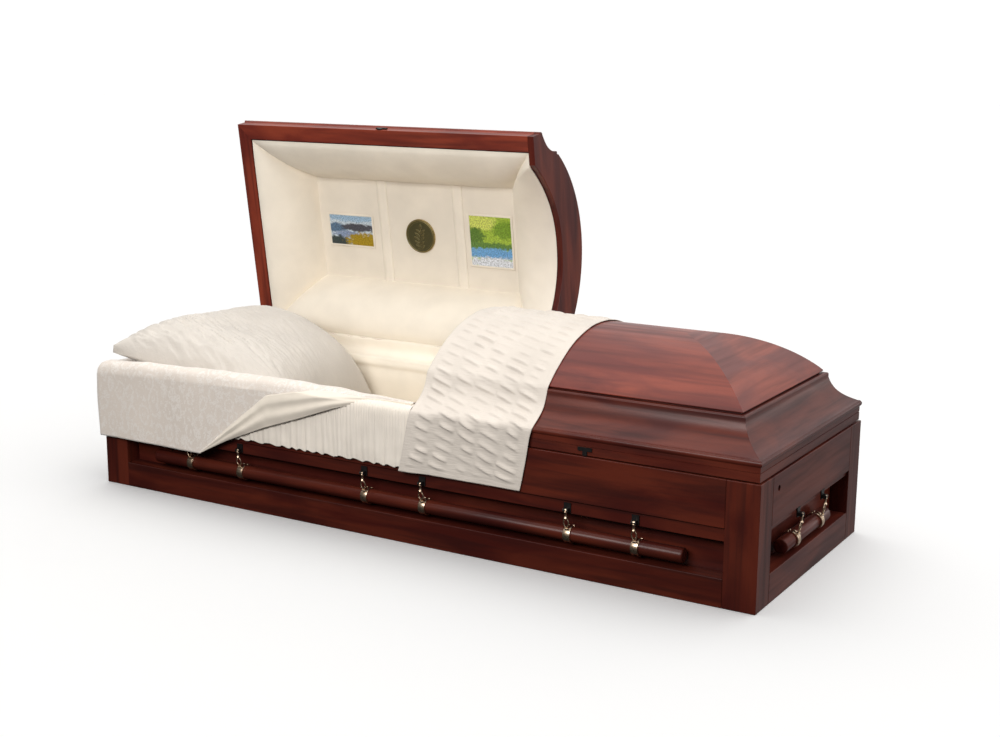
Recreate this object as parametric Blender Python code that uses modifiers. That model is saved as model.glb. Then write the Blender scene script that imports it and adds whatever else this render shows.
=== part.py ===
"""Half-couch wooden casket: panelled body, two hinged lids, swing-bar handles and cloth interior."""
import math

import bmesh
import bpy
from mathutils import Matrix, Vector

# Overall sizes, in metres. X runs from the head end (-X) to the foot end (+X), and -Y is the front.
LENGTH = 2.110
WIDTH = 0.749
BODY_HEIGHT = 0.3205
GAP = 0.0003

# Frame boards of the body
BOARD_THICKNESS = 0.050
SIDE_POST_WIDTH = 0.087
END_POST_WIDTH = 0.084
SIDE_SILL_HEIGHT = 0.073
END_SILL_HEIGHT = 0.077
SIDE_RECESS_HEIGHT = 0.092
END_RECESS_HEIGHT = 0.106
SIDE_LEDGE_HEIGHT = 0.035
END_LEDGE_HEIGHT = 0.014
LEDGE_SETBACK = 0.007
PANEL_THICKNESS = 0.012
PANEL_TOP_MARGIN = 0.010
FLOOR_THICKNESS = 0.018
EDGE_ROUND = 0.0012
LOCK_BORE_RADIUS = 0.0078
LOCK_BORE_DEPTH = 0.022
LOCK_FROM_CENTRE = 0.251
LOCK_BELOW_TOP = 0.0365

# Lid profile: u runs inwards from the body's face, v upwards from the lid's lower face
SEAM = 0.003
RAIL_SETBACK = 0.005
RAIL_WIDTH = 0.047
NOSE_BOTTOM = 0.0365
NOSE_RADIUS = 0.0088
COVE_START = (0.0090, 0.0545)
COVE_HANDLE_LOW = (0.0450, 0.0725)
COVE_HANDLE_HIGH = (0.0640, 0.0880)
COVE_END = (0.0745, 0.1245)
LIP_TOP = 0.1370
LIP_INNER = 0.0880
CROWN_EDGE = 0.0862
CROWN_BOTTOM = 0.1410
CROWN_LIP = 0.0035
CROWN_TOP = 0.2650
CROWN_THICKNESS = 0.016
HIP_RISE = 0.0004
RIM_BACK_THICKNESS = 0.019
RIM_SHELF = 0.022

# Lids along the length
LID_MEETING_X = 0.070
LID_MEETING_GAP = 0.003
HEADER_THICKNESS = 0.020
HEADER_DEPTH = 0.072
HEADER_SPRING = 0.0225
LID_OPEN_DEG = 81.5
HINGE_OUTSET = 0.003
HINGE_BARREL_RADIUS = 0.0045
HINGE_LEAF_THICKNESS = 0.0020
HINGE_LEAF_WIDTH = 0.030
HINGE_END_MARGIN = 0.100

# Swing-bar handles
BAR_RADIUS = 0.0195
SIDE_BAR_MARGIN = 0.109
END_BAR_MARGIN = 0.1275
BAR_INSET = 0.022
BAR_HEIGHT = 0.107
PIN_HEIGHT = 0.176
PIN_OUTSET = 0.004
OUTER_LUG_MARGIN = 0.134
LUG_OFFSET = 0.008
LUG_SPACING = 0.190
END_LUG_MARGIN = 0.073
EAR_WIDTH = 0.020
EAR_HEIGHT = 0.025
EAR_RAISE = 0.005
EAR_PLATE_THICKNESS = 0.003
EAR_CHEEK_THICKNESS = 0.003
EAR_CHEEK_RADIUS = 0.0055
EYE_RADIUS = 0.0045
EYE_WIDTH = 0.0070
NECK_TOP_RADIUS = 0.0032
NECK_FOOT_RADIUS = 0.0085
CLASP_WALL = 0.0045
CLASP_WIDTH = 0.022

# Lid catches
CATCH_WIDTH = 0.039
CATCH_HEIGHT = 0.009
CATCH_DEPTH = 0.004
CATCH_STEM_WIDTH = 0.012
CATCH_FROM_SEAM = 0.012

# Cloth and padding. The pillow's corners are measured from the head end, the faces and the body's top.
LINING_THICKNESS = 0.014
LINING_TOP_MARGIN = 0.004
MATTRESS_HEIGHT = 0.150
MATTRESS_CLEARANCE = 0.004
MATTRESS_ROUND = 0.020
PILLOW_THICKNESS = 0.120
PILLOW_EDGE = 0.012
PILLOW_TIP_FROM_END = 0.040
PILLOW_TIP_FROM_FACE = 0.0195
PILLOW_TIP_RISE = 0.1195
PILLOW_BACK_FROM_END = 0.120
PILLOW_SIDE_MARGIN = 0.1095
PILLOW_BACK_RISE = 0.1295
PILLOW_FOOT_FROM_END = 0.510
PILLOW_FOOT_SINK = 0.0655
PILLOW_FOOT_FRONT_RISE = 0.030
PILLOW_FOOT_FRONT_MARGIN = 0.1345
LID_LINING_CLEARANCE = 0.003
LID_PANEL_DEPTH = 0.158
LID_PANEL_LENGTH = 0.767
LID_PANEL_WIDTH = 0.345
LID_LINING_MOUTH_WIDTH = 0.012
LID_LINING_LIP = 0.005
LID_PANEL_BACKING = 0.016
LID_PANEL_OFFSET = 0.016
CARD_THICKNESS = 0.0012
LANDSCAPE_CARD = (0.176, 0.104)
PORTRAIT_CARD = (0.156, 0.166)
LANDSCAPE_CARD_MARGIN = 0.0395
PORTRAIT_CARD_MARGIN = 0.0155
CARD_RAISE = 0.006
MEDALLION_OFFSET = 0.022
MEDALLION_RADIUS = 0.056
MEDALLION_THICKNESS = 0.008
APRON_END_X = 0.055
APRON_RISE = 0.0615
APRON_DROP = 0.1075
APRON_THICKNESS = 0.010
APRON_ROLL_DEPTH = 0.048
THROW_THICKNESS = 0.007
THROW_CLEARANCE = 0.001
THROW_ROUND = 0.010
THROW_DROP = 0.1695
THROW_BACK_MARGIN = 0.040
THROW_FOLD_START = 0.401
THROW_FOLD_TURN = (0.118, 0.061)
THROW_FOLD_BEND = (0.333, 0.143)
THROW_FOLD_TOP = 0.225
THROW_END_X = 0.050
RUNNER_START_X = 0.073
RUNNER_WIDTH = 0.369
RUNNER_DROP = 0.1155
RUNNER_THICKNESS = 0.005
RUNNER_CLEARANCE = 0.003
RUNNER_DROP_OUTSET = 0.006
RUNNER_BACK_Y = 0.150

# Rows of vertices that make the curved shapes
COVE_STEPS = 7
NOSE_STEPS = 6
CROWN_STEPS = 24
CROWN_END_STEPS = 22
BAR_SIDES = 16

# Length by which a cutter runs past what it cuts
OVERRUN = 0.050

HALF_LENGTH = LENGTH / 2
HALF_WIDTH = WIDTH / 2
LID_BASE = BODY_HEIGHT + SEAM
INNER_X = HALF_LENGTH - BOARD_THICKNESS
INNER_Y = HALF_WIDTH - BOARD_THICKNESS
HINGE_Y = HALF_WIDTH + HINGE_OUTSET
HINGE_Z = BODY_HEIGHT + SEAM / 2
APRON_TOP = BODY_HEIGHT + APRON_RISE
APRON_HEM = BODY_HEIGHT - APRON_DROP
THROW_HEM = BODY_HEIGHT - THROW_DROP
RUNNER_HEM = BODY_HEIGHT - RUNNER_DROP


def remove_everything():
    for obj in list(bpy.data.objects):
        bpy.data.objects.remove(obj, do_unlink=True)


def new_collection(name):
    collection = bpy.data.collections.new(name)
    bpy.context.scene.collection.children.link(collection)
    return collection


def new_material(name, colour, roughness, metallic=0.0):
    material = bpy.data.materials.new(name)
    material.use_nodes = True
    shader = material.node_tree.nodes["Principled BSDF"]
    shader.inputs["Base Color"].default_value = (*colour, 1.0)
    shader.inputs["Roughness"].default_value = roughness
    shader.inputs["Metallic"].default_value = metallic
    return material


def add_object(name, mesh, material, collection):
    obj = bpy.data.objects.new(name, mesh)
    mesh.materials.clear()
    mesh.materials.append(material)
    collection.objects.link(obj)
    return obj


def bevel(obj, width, segments=1):
    """Round the outward edges, and leave the inward corners sharp so that boards still fit them."""
    bm = bmesh.new()
    bm.from_mesh(obj.data)
    weight = bm.edges.layers.float.new("bevel_weight_edge")
    for edge in bm.edges:
        if edge.is_convex and edge.calc_face_angle(0.0) > math.radians(40):
            edge[weight] = 1.0
    bm.to_mesh(obj.data)
    bm.free()
    modifier = obj.modifiers.new("rounded edges", "BEVEL")
    modifier.width = width
    modifier.segments = segments
    modifier.limit_method = "WEIGHT"


def boolean(obj, tool, operation):
    modifier = obj.modifiers.new(operation.lower(), "BOOLEAN")
    modifier.object = tool
    modifier.operation = operation
    modifier.solver = "EXACT"


def as_cutter(obj):
    obj.hide_render = True
    obj.display_type = "WIRE"
    return obj


def mesh_from(bm, name):
    bmesh.ops.recalc_face_normals(bm, faces=bm.faces)
    mesh = bpy.data.meshes.new(name)
    bm.to_mesh(mesh)
    bm.free()
    return mesh


def box(name, low, high, material, collection, rounded=0.0):
    """A board or block between two corners."""
    bm = bmesh.new()
    bmesh.ops.create_cube(bm, size=1.0)
    size = Vector(high) - Vector(low)
    middle = (Vector(high) + Vector(low)) / 2
    bmesh.ops.scale(bm, vec=size, verts=bm.verts)
    obj = add_object(name, mesh_from(bm, name), material, collection)
    obj.location = middle
    if rounded:
        bevel(obj, rounded)
    return obj


def prism(name, outlines, axis, start, end, material, collection):
    """Flat closed outlines pushed along an axis; a second outline inside the first is a hole.

    The outlines are (y, z) pairs for axis X, (x, z) pairs for axis Y and (x, y) pairs for axis Z.
    """
    curve = bpy.data.curves.new(name, "CURVE")
    curve.dimensions = "2D"
    curve.fill_mode = "BOTH"
    curve.extrude = (end - start) / 2
    for outline in outlines:
        spline = curve.splines.new("POLY")
        spline.points.add(len(outline) - 1)
        for point, (a, b) in zip(spline.points, outline):
            point.co = (a, b, 0.0, 1.0)
        spline.use_cyclic_u = True
    source = bpy.data.objects.new(name + " outline", curve)
    bpy.context.scene.collection.objects.link(source)
    middle = (start + end) / 2
    turns = {
        "X": (Matrix.Translation((middle, 0, 0)), (math.pi / 2, 0, math.pi / 2)),
        "Y": (Matrix.Translation((0, middle, 0)), (math.pi / 2, 0, 0)),
        "Z": (Matrix.Translation((0, 0, middle)), (0, 0, 0)),
    }
    shift, euler = turns[axis]
    turn = Matrix.Rotation(euler[2], 4, "Z") @ Matrix.Rotation(euler[0], 4, "X")
    bpy.context.view_layer.update()
    evaluated = source.evaluated_get(bpy.context.evaluated_depsgraph_get())
    flat = bpy.data.meshes.new_from_object(evaluated)
    bm = bmesh.new()
    bm.from_mesh(flat)
    bpy.data.objects.remove(source, do_unlink=True)
    bpy.data.meshes.remove(flat)
    bmesh.ops.remove_doubles(bm, verts=bm.verts, dist=0.00005)
    bmesh.ops.transform(bm, matrix=shift @ turn, verts=bm.verts)
    return add_object(name, mesh_from(bm, name), material, collection)


def cut_by_plane(obj, point, outward):
    """Trim a mesh flat at a plane and close the cut."""
    bm = bmesh.new()
    bm.from_mesh(obj.data)
    geometry = list(bm.verts) + list(bm.edges) + list(bm.faces)
    cut = bmesh.ops.bisect_plane(
        bm, geom=geometry, plane_co=point, plane_no=outward, clear_outer=True, dist=0.00001
    )
    edges = [item for item in cut["geom_cut"] if isinstance(item, bmesh.types.BMEdge)]
    bmesh.ops.edgeloop_fill(bm, edges=edges)
    bmesh.ops.recalc_face_normals(bm, faces=bm.faces)
    bm.to_mesh(obj.data)
    bm.free()


def baked(obj, name, material, collection):
    """The object's evaluated shape as a plain mesh object."""
    bpy.context.view_layer.update()
    evaluated = obj.evaluated_get(bpy.context.evaluated_depsgraph_get())
    mesh = bpy.data.meshes.new_from_object(evaluated)
    mesh.transform(obj.matrix_world)
    return add_object(name, mesh, material, collection)


def cylinder(name, radius, start, end, sides, material, collection, end_radius=None):
    """A round bar or cone between two points."""
    start = Vector(start)
    end = Vector(end)
    along = end - start
    bm = bmesh.new()
    bmesh.ops.create_cone(
        bm,
        cap_ends=True,
        segments=sides,
        radius1=radius,
        radius2=radius if end_radius is None else end_radius,
        depth=along.length,
    )
    turn = Vector((0, 0, 1)).rotation_difference(along).to_matrix().to_4x4()
    bmesh.ops.transform(bm, matrix=Matrix.Translation((start + end) / 2) @ turn, verts=bm.verts)
    return add_object(name, mesh_from(bm, name), material, collection)


# Body of the casket

def corner_posts():
    """Four upright posts, each an angle of two boards that covers its corner."""
    corner = [
        (0.0, 0.0),
        (SIDE_POST_WIDTH, 0.0),
        (SIDE_POST_WIDTH, BOARD_THICKNESS),
        (BOARD_THICKNESS, BOARD_THICKNESS),
        (BOARD_THICKNESS, END_POST_WIDTH),
        (0.0, END_POST_WIDTH),
    ]
    for side, sign_y in (("front", -1), ("back", 1)):
        for end, sign_x in (("head", -1), ("foot", 1)):
            outline = []
            for inward_x, inward_y in corner:
                outline.append((sign_x * (HALF_LENGTH - inward_x), sign_y * (HALF_WIDTH - inward_y)))
            post = prism(f"{end}_{side}_post", [outline], "Z", 0.0, BODY_HEIGHT, WOOD, PARTS)
            bevel(post, EDGE_ROUND)


def board_with_ledge(sill_height, recess_height, ledge_height, sign, half):
    """Section of a top board whose lower strip is set back, as (across, z) pairs."""
    face = sign * half
    ledge = sign * (half - LEDGE_SETBACK)
    back = sign * (half - BOARD_THICKNESS)
    bottom = sill_height + recess_height
    step = bottom + ledge_height
    return [
        (face, BODY_HEIGHT),
        (face, step),
        (ledge, step),
        (ledge, bottom),
        (back, bottom),
        (back, BODY_HEIGHT),
    ]


def side_boards():
    """Top board, sill and set-back panel of the front and of the back."""
    reach = HALF_LENGTH - SIDE_POST_WIDTH - GAP
    panel_reach = INNER_X - GAP
    for side, sign in (("front", -1), ("back", 1)):
        section = board_with_ledge(SIDE_SILL_HEIGHT, SIDE_RECESS_HEIGHT, SIDE_LEDGE_HEIGHT, sign, HALF_WIDTH)
        top = prism(f"{side}_top_board", [section], "X", -reach, reach, WOOD, PARTS)
        bevel(top, EDGE_ROUND)
        faces = sorted((sign * HALF_WIDTH, sign * INNER_Y))
        high = (reach, faces[1], SIDE_SILL_HEIGHT)
        box(f"{side}_sill", (-reach, faces[0], 0.0), high, WOOD, PARTS, EDGE_ROUND)
        faces = sorted((sign * (INNER_Y - GAP), sign * (INNER_Y - GAP - PANEL_THICKNESS)))
        low = (-panel_reach, faces[0], FLOOR_THICKNESS + GAP)
        high = (panel_reach, faces[1], BODY_HEIGHT - PANEL_TOP_MARGIN)
        box(f"{side}_panel", low, high, WOOD, PARTS)


def end_boards():
    """Top board, sill and set-back panel of the head end and of the foot end."""
    reach = HALF_WIDTH - END_POST_WIDTH - GAP
    panel_reach = INNER_Y - PANEL_THICKNESS - 2 * GAP
    for end, sign in (("head", -1), ("foot", 1)):
        section = board_with_ledge(END_SILL_HEIGHT, END_RECESS_HEIGHT, END_LEDGE_HEIGHT, sign, HALF_LENGTH)
        top = prism(f"{end}_top_board", [section], "Y", -reach, reach, WOOD, PARTS)
        bevel(top, EDGE_ROUND)
        if end == "foot":
            bore_lock(top)
        faces = sorted((sign * HALF_LENGTH, sign * INNER_X))
        high = (faces[1], reach, END_SILL_HEIGHT)
        box(f"{end}_sill", (faces[0], -reach, 0.0), high, WOOD, PARTS, EDGE_ROUND)
        faces = sorted((sign * (INNER_X - GAP), sign * (INNER_X - GAP - PANEL_THICKNESS)))
        low = (faces[0], -panel_reach, FLOOR_THICKNESS + GAP)
        high = (faces[1], panel_reach, BODY_HEIGHT - PANEL_TOP_MARGIN)
        box(f"{end}_panel", low, high, WOOD, PARTS)


def bore_lock(board):
    """Blind round hole for the lid-lock key, in the foot end's top board."""
    z = BODY_HEIGHT - LOCK_BELOW_TOP
    start = (HALF_LENGTH - LOCK_BORE_DEPTH, -LOCK_FROM_CENTRE, z)
    end = (HALF_LENGTH + LOCK_BORE_DEPTH, -LOCK_FROM_CENTRE, z)
    tool = as_cutter(cylinder("lock bore cutter", LOCK_BORE_RADIUS, start, end, 20, DARK_METAL, CUTTERS))
    boolean(board, tool, "DIFFERENCE")


def floor_board():
    low = (-INNER_X + GAP, -INNER_Y + GAP, 0.0)
    high = (INNER_X - GAP, INNER_Y - GAP, FLOOR_THICKNESS)
    box("floor_board", low, high, WOOD, PARTS)


# Lids

def cove_points():
    """The hollow curve between the half-round nose and the crown, as a cubic curve in (u, v)."""
    points = []
    for step in range(COVE_STEPS + 1):
        t = step / COVE_STEPS
        weights = ((1 - t) ** 3, 3 * t * (1 - t) ** 2, 3 * t * t * (1 - t), t ** 3)
        handles = (COVE_START, COVE_HANDLE_LOW, COVE_HANDLE_HIGH, COVE_END)
        u = sum(weight * handle[0] for weight, handle in zip(weights, handles))
        v = sum(weight * handle[1] for weight, handle in zip(weights, handles))
        points.append((u, v))
    return points


def nose_points():
    """Half-round nose along the lower edge of the lid."""
    points = []
    for step in range(NOSE_STEPS + 1):
        angle = math.radians(-90 + 180 * step / NOSE_STEPS)
        u = NOSE_RADIUS - NOSE_RADIUS * math.cos(angle) * 0.95
        v = NOSE_BOTTOM + NOSE_RADIUS * (1 + math.sin(angle))
        points.append((min(u, RAIL_SETBACK), v))
    return points[:-1]


def rim_outline():
    """Outer side of the lid moulding, from the rail's lower edge up to the lip under the crown."""
    lip_round = 0.005
    points = [(RAIL_SETBACK, 0.0)]
    points += nose_points()
    points += cove_points()
    points.append((COVE_END[0] + lip_round * 0.4, LIP_TOP - lip_round * 0.4))
    points.append((COVE_END[0] + lip_round * 1.4, LIP_TOP))
    return points


def rim_section():
    """Whole section of the lid moulding as (u, v): outer side, shelf for the crown, inner side."""
    inner_rail = RAIL_SETBACK + RAIL_WIDTH
    shelf_outer = LIP_INNER + 0.006
    points = rim_outline()
    points.append((LIP_INNER, LIP_TOP))
    points.append((shelf_outer, LIP_TOP))
    points.append((shelf_outer, CROWN_BOTTOM - GAP))
    points.append((shelf_outer + RIM_SHELF, CROWN_BOTTOM - GAP))
    points.append((COVE_END[0] + RIM_BACK_THICKNESS + 0.012, COVE_END[1] - 0.020))
    points.append((COVE_HANDLE_HIGH[0] + RIM_BACK_THICKNESS, COVE_HANDLE_HIGH[1] - 0.018))
    points.append((inner_rail, COVE_START[1] - 0.010))
    points.append((inner_rail, 0.0))
    return points


def crown_drop(across, rise):
    """How far the crown's arc has fallen at a distance from its middle line."""
    half = HALF_WIDTH - CROWN_EDGE
    radius = (half * half + rise * rise) / (2 * rise)
    return radius - math.sqrt(max(radius * radius - across * across, 0.0))


def crown_arc(offset, steps=CROWN_STEPS):
    """Half of the crown's arc as (distance from the middle, v), from its edge to its top."""
    rise = CROWN_TOP - CROWN_BOTTOM - CROWN_LIP
    half = HALF_WIDTH - CROWN_EDGE - offset
    points = []
    for step in range(steps // 2 + 1):
        across = half * (1 - step / (steps // 2))
        points.append((across, CROWN_TOP - offset - crown_drop(across, rise)))
    return points


def arch_outline(offset, bottom):
    """Closed arch across the lid as (y, z) pairs."""
    arc = crown_arc(offset)
    right = [(across, LID_BASE + v) for across, v in arc]
    left = [(-across, z) for across, z in reversed(right[:-1])]
    edge = arc[0][0]
    return [(-edge, LID_BASE + bottom), (edge, LID_BASE + bottom)] + right + left


def end_arch_outline(offset, bottom, outer_end, near_end):
    """The same arc seen along Y, for the lid's outer end. It crosses the ridge just before its own top."""
    sign = 1 if outer_end > near_end else -1
    centre = outer_end - sign * HALF_WIDTH
    points = []
    for across, v in crown_arc(offset, CROWN_END_STEPS):
        points.append((centre + sign * across, LID_BASE + v))
    points[-1] = (centre, points[-1][1] + HIP_RISE)
    edge = points[0][0]
    above = points[-1][1] + OVERRUN
    open_end = near_end - sign * OVERRUN
    clear = [(centre, above), (open_end, above)]
    return [(open_end, LID_BASE + bottom), (edge, LID_BASE + bottom)] + points + clear


def hip_cutter(name, offset, bottom, outer_end, near_end):
    """Cutter that gives an arched length of crown its rounded outer end."""
    outline = end_arch_outline(offset, bottom, outer_end, near_end)
    tool = prism(name, [outline], "Y", -HALF_WIDTH - OVERRUN, HALF_WIDTH + OVERRUN, WOOD, CUTTERS)
    return as_cutter(tool)


def crown(name, outer_end, near_end):
    """Domed crown: the arch across the lid and the arch at its outer end, hollowed to a shell."""
    low, high = sorted((outer_end, near_end))
    below = CROWN_BOTTOM - OVERRUN
    shell = prism(name, [arch_outline(0.0, CROWN_BOTTOM)], "X", low, high, WOOD, PARTS)
    boolean(shell, hip_cutter(f"{name} hip cutter", 0.0, below, outer_end, near_end), "INTERSECT")
    hollow = [arch_outline(CROWN_THICKNESS, below)]
    inside = prism(f"{name} hollow cutter", hollow, "X", low - OVERRUN, high + OVERRUN, WOOD, CUTTERS)
    inner_below = below - OVERRUN
    past_end = near_end - OVERRUN if outer_end > near_end else near_end + OVERRUN
    inner_hip = hip_cutter(f"{name} inner hip cutter", CROWN_THICKNESS, inner_below, outer_end, past_end)
    boolean(inside, inner_hip, "INTERSECT")
    boolean(shell, as_cutter(inside), "DIFFERENCE")
    return shell


def lid_rims(prefix, outer_end, near_end):
    """Front, back and end mouldings, mitred where they meet."""
    section = rim_section()
    low, high = sorted((outer_end, near_end))
    sign = 1 if outer_end > near_end else -1
    rims = []
    for side, sign_y in (("front", -1), ("back", 1)):
        outline = [(sign_y * (HALF_WIDTH - u), LID_BASE + v) for u, v in section]
        rim = prism(f"{prefix}_{side}_moulding", [outline], "X", low, high, WOOD, PARTS)
        mitre = Vector((sign, -sign_y, 0.0)).normalized()
        corner = Vector((outer_end, sign_y * HALF_WIDTH, 0.0)) - mitre * GAP / 2
        cut_by_plane(rim, corner, mitre)
        rims.append(rim)
    outline = [(outer_end - sign * u, LID_BASE + v) for u, v in section]
    rim = prism(f"{prefix}_end_moulding", [outline], "Y", -HALF_WIDTH, HALF_WIDTH, WOOD, PARTS)
    for sign_y in (-1, 1):
        mitre = Vector((-sign, sign_y, 0.0)).normalized()
        corner = Vector((outer_end, sign_y * HALF_WIDTH, 0.0)) - mitre * GAP / 2
        cut_by_plane(rim, corner, mitre)
    rims.append(rim)
    return rims


def lid_outline():
    """Outline of the closed lid's open end as (y, z): back rail, over the crown, front rail."""
    half = []
    for u, v in rim_outline():
        half.append((HALF_WIDTH - u, LID_BASE + v))
    half.append((HALF_WIDTH - CROWN_EDGE, LID_BASE + LIP_TOP))
    for across, v in crown_arc(0.0):
        half.append((across, LID_BASE + v))
    mirrored = [(-y, z) for y, z in reversed(half[:-1])]
    return half + mirrored


def header(name, start, end):
    """Arched board that closes the mouldings and the crown where the two lids meet."""
    outer = lid_outline()
    side = HALF_WIDTH - RAIL_SETBACK - RAIL_WIDTH
    top = LID_BASE + CROWN_TOP - HEADER_DEPTH
    inner = []
    shoulder = side - 0.010
    spring = LID_BASE + HEADER_SPRING
    for step in range(13):
        angle = math.pi * step / 12
        y = -shoulder * math.cos(angle)
        z = spring + (top - spring) * math.sin(angle) ** 0.75
        inner.append((y, z))
    outline = outer + [(-side, LID_BASE)] + inner + [(side, LID_BASE)]
    return prism(name, [outline], "X", start, end, WOOD, PARTS)


def catch(name, x):
    """Black T-shaped lid catch on the front rail."""
    face = -(HALF_WIDTH - RAIL_SETBACK) - GAP
    top = LID_BASE + CATCH_FROM_SEAM + CATCH_HEIGHT
    bar_bottom = LID_BASE + CATCH_FROM_SEAM
    half = CATCH_WIDTH / 2
    stem = CATCH_STEM_WIDTH / 2
    outline = [
        (x - half, top),
        (x - half, bar_bottom),
        (x - stem, bar_bottom),
        (x - stem, LID_BASE + GAP),
        (x + stem, LID_BASE + GAP),
        (x + stem, bar_bottom),
        (x + half, bar_bottom),
        (x + half, top),
    ]
    return prism(name, [outline], "Y", face - CATCH_DEPTH, face, DARK_METAL, PARTS)


def hinge_strip():
    """Fixed leaf and barrel of the continuous hinge along the back, in the seam under the lids."""
    reach = HALF_LENGTH - HINGE_END_MARGIN
    z = BODY_HEIGHT + GAP
    low = (-reach, HALF_WIDTH - HINGE_LEAF_WIDTH, z)
    high = (reach, HINGE_Y, z + HINGE_LEAF_THICKNESS)
    leaf = box("lid_hinge_strip", low, high, DARK_METAL, PARTS)
    start = (-reach, HINGE_Y + HINGE_BARREL_RADIUS / 2, z + HINGE_BARREL_RADIUS)
    end = (reach, HINGE_Y + HINGE_BARREL_RADIUS / 2, z + HINGE_BARREL_RADIUS)
    barrel = cylinder("hinge barrel cutter", HINGE_BARREL_RADIUS, start, end, 12, DARK_METAL, CUTTERS)
    boolean(leaf, as_cutter(barrel), "UNION")


# Handles

def lug_tool():
    """One handle arm, hanging from its pin at the origin: eye, neck and the clasp round the bar."""
    drop = PIN_HEIGHT - BAR_HEIGHT
    bar = Vector((0.0, BAR_INSET + PIN_OUTSET, -drop))
    eye = cylinder("arm eye", EYE_RADIUS, (-EYE_WIDTH / 2, 0, 0), (EYE_WIDTH / 2, 0, 0), 10, BRASS, CUTTERS)
    neck = cylinder(
        "arm neck", NECK_TOP_RADIUS, (0, 0, 0), tuple(bar), 8, BRASS, CUTTERS, end_radius=NECK_FOOT_RADIUS
    )
    clasp = cylinder(
        "arm clasp",
        BAR_RADIUS + CLASP_WALL,
        (-CLASP_WIDTH / 2, bar.y, bar.z),
        (CLASP_WIDTH / 2, bar.y, bar.z),
        BAR_SIDES,
        BRASS,
        CUTTERS,
    )
    boolean(clasp, neck, "UNION")
    boolean(clasp, eye, "UNION")
    arm = baked(clasp, "arm cutter", BRASS, CUTTERS)
    for used in (clasp, eye, neck):
        bpy.data.objects.remove(used, do_unlink=True)
    return as_cutter(arm)


def ear_mesh():
    """Fixed ear in front of the ledge: a plate with two round cheeks beside the arm's eye."""
    plate_back = LEDGE_SETBACK + PIN_OUTSET - GAP
    plate = box(
        "ear",
        (-EAR_WIDTH / 2, plate_back - EAR_PLATE_THICKNESS, EAR_RAISE - EAR_HEIGHT / 2),
        (EAR_WIDTH / 2, plate_back, EAR_RAISE + EAR_HEIGHT / 2),
        DARK_METAL,
        CUTTERS,
    )
    tools = []
    for sign in (-1, 1):
        inner = sign * (EYE_WIDTH / 2 + GAP)
        outer = inner + sign * EAR_CHEEK_THICKNESS
        low, high = sorted((inner, outer))
        cheek = cylinder("cheek", EAR_CHEEK_RADIUS, (low, 0, 0), (high, 0, 0), 10, DARK_METAL, CUTTERS)
        web = box(
            "cheek web",
            (low, 0.0, -EAR_CHEEK_RADIUS * 0.9),
            (high, plate_back - EAR_PLATE_THICKNESS / 2, EAR_CHEEK_RADIUS * 0.9),
            DARK_METAL,
            CUTTERS,
        )
        tools += [cheek, web]
    for tool in tools:
        boolean(plate, tool, "UNION")
    ear = baked(plate, "ear shape", DARK_METAL, CUTTERS)
    for used in tools + [plate]:
        bpy.data.objects.remove(used, do_unlink=True)
    mesh = ear.data
    bpy.data.objects.remove(ear, do_unlink=True)
    return mesh


def side_lug_places(bar_half):
    """Three pairs of arms along a long bar."""
    pitch = bar_half - OUTER_LUG_MARGIN - LUG_SPACING / 2
    places = []
    for pair in (-1, 0, 1):
        for half in (-0.5, 0.5):
            places.append(LUG_OFFSET + pair * pitch + half * LUG_SPACING)
    return places


def handle(name, face, turn, half, places, arm, ear):
    """A wooden bar with its arms on a pivot at the pins' height, and its fixed ears."""
    place = Matrix.Rotation(turn, 4, "Z")
    frame = Matrix.Translation(place @ Vector((0.0, -face - PIN_OUTSET, PIN_HEIGHT))) @ place
    pivot = bpy.data.objects.new(f"{name} pivot", None)
    PARTS.objects.link(pivot)
    pivot.matrix_world = frame
    bar_y = BAR_INSET + PIN_OUTSET
    bar_z = BAR_HEIGHT - PIN_HEIGHT
    bar = cylinder(name, BAR_RADIUS, (-half, bar_y, bar_z), (half, bar_y, bar_z), BAR_SIDES, WOOD, PARTS)
    bevel(bar, 0.002)
    bar.parent = pivot
    for number, along in enumerate(places, start=1):
        tool = bpy.data.objects.new(f"{name} arm {number} cutter", arm.data)
        CUTTERS.objects.link(tool)
        as_cutter(tool)
        tool.parent = pivot
        tool.location = (along, 0.0, 0.0)
        boolean(bar, tool, "UNION")
        fixed = add_object(f"{name}_ear_{number}", ear, DARK_METAL, PARTS)
        fixed.matrix_world = frame @ Matrix.Translation((along, 0.0, 0.0))


def handles():
    arm = lug_tool()
    ear = ear_mesh()
    side_half = HALF_LENGTH - SIDE_POST_WIDTH - SIDE_BAR_MARGIN
    end_half = HALF_WIDTH - END_POST_WIDTH - END_BAR_MARGIN
    side = side_lug_places(side_half)
    mirrored = [-along for along in side]
    ends = [END_LUG_MARGIN - end_half, end_half - END_LUG_MARGIN]
    handle("front_handle", HALF_WIDTH, 0.0, side_half, side, arm, ear)
    handle("back_handle", HALF_WIDTH, math.pi, side_half, mirrored, arm, ear)
    handle("foot_handle", HALF_LENGTH, math.pi / 2, end_half, ends, arm, ear)
    handle("head_handle", HALF_LENGTH, -math.pi / 2, end_half, ends, arm, ear)


# Interior

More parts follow.
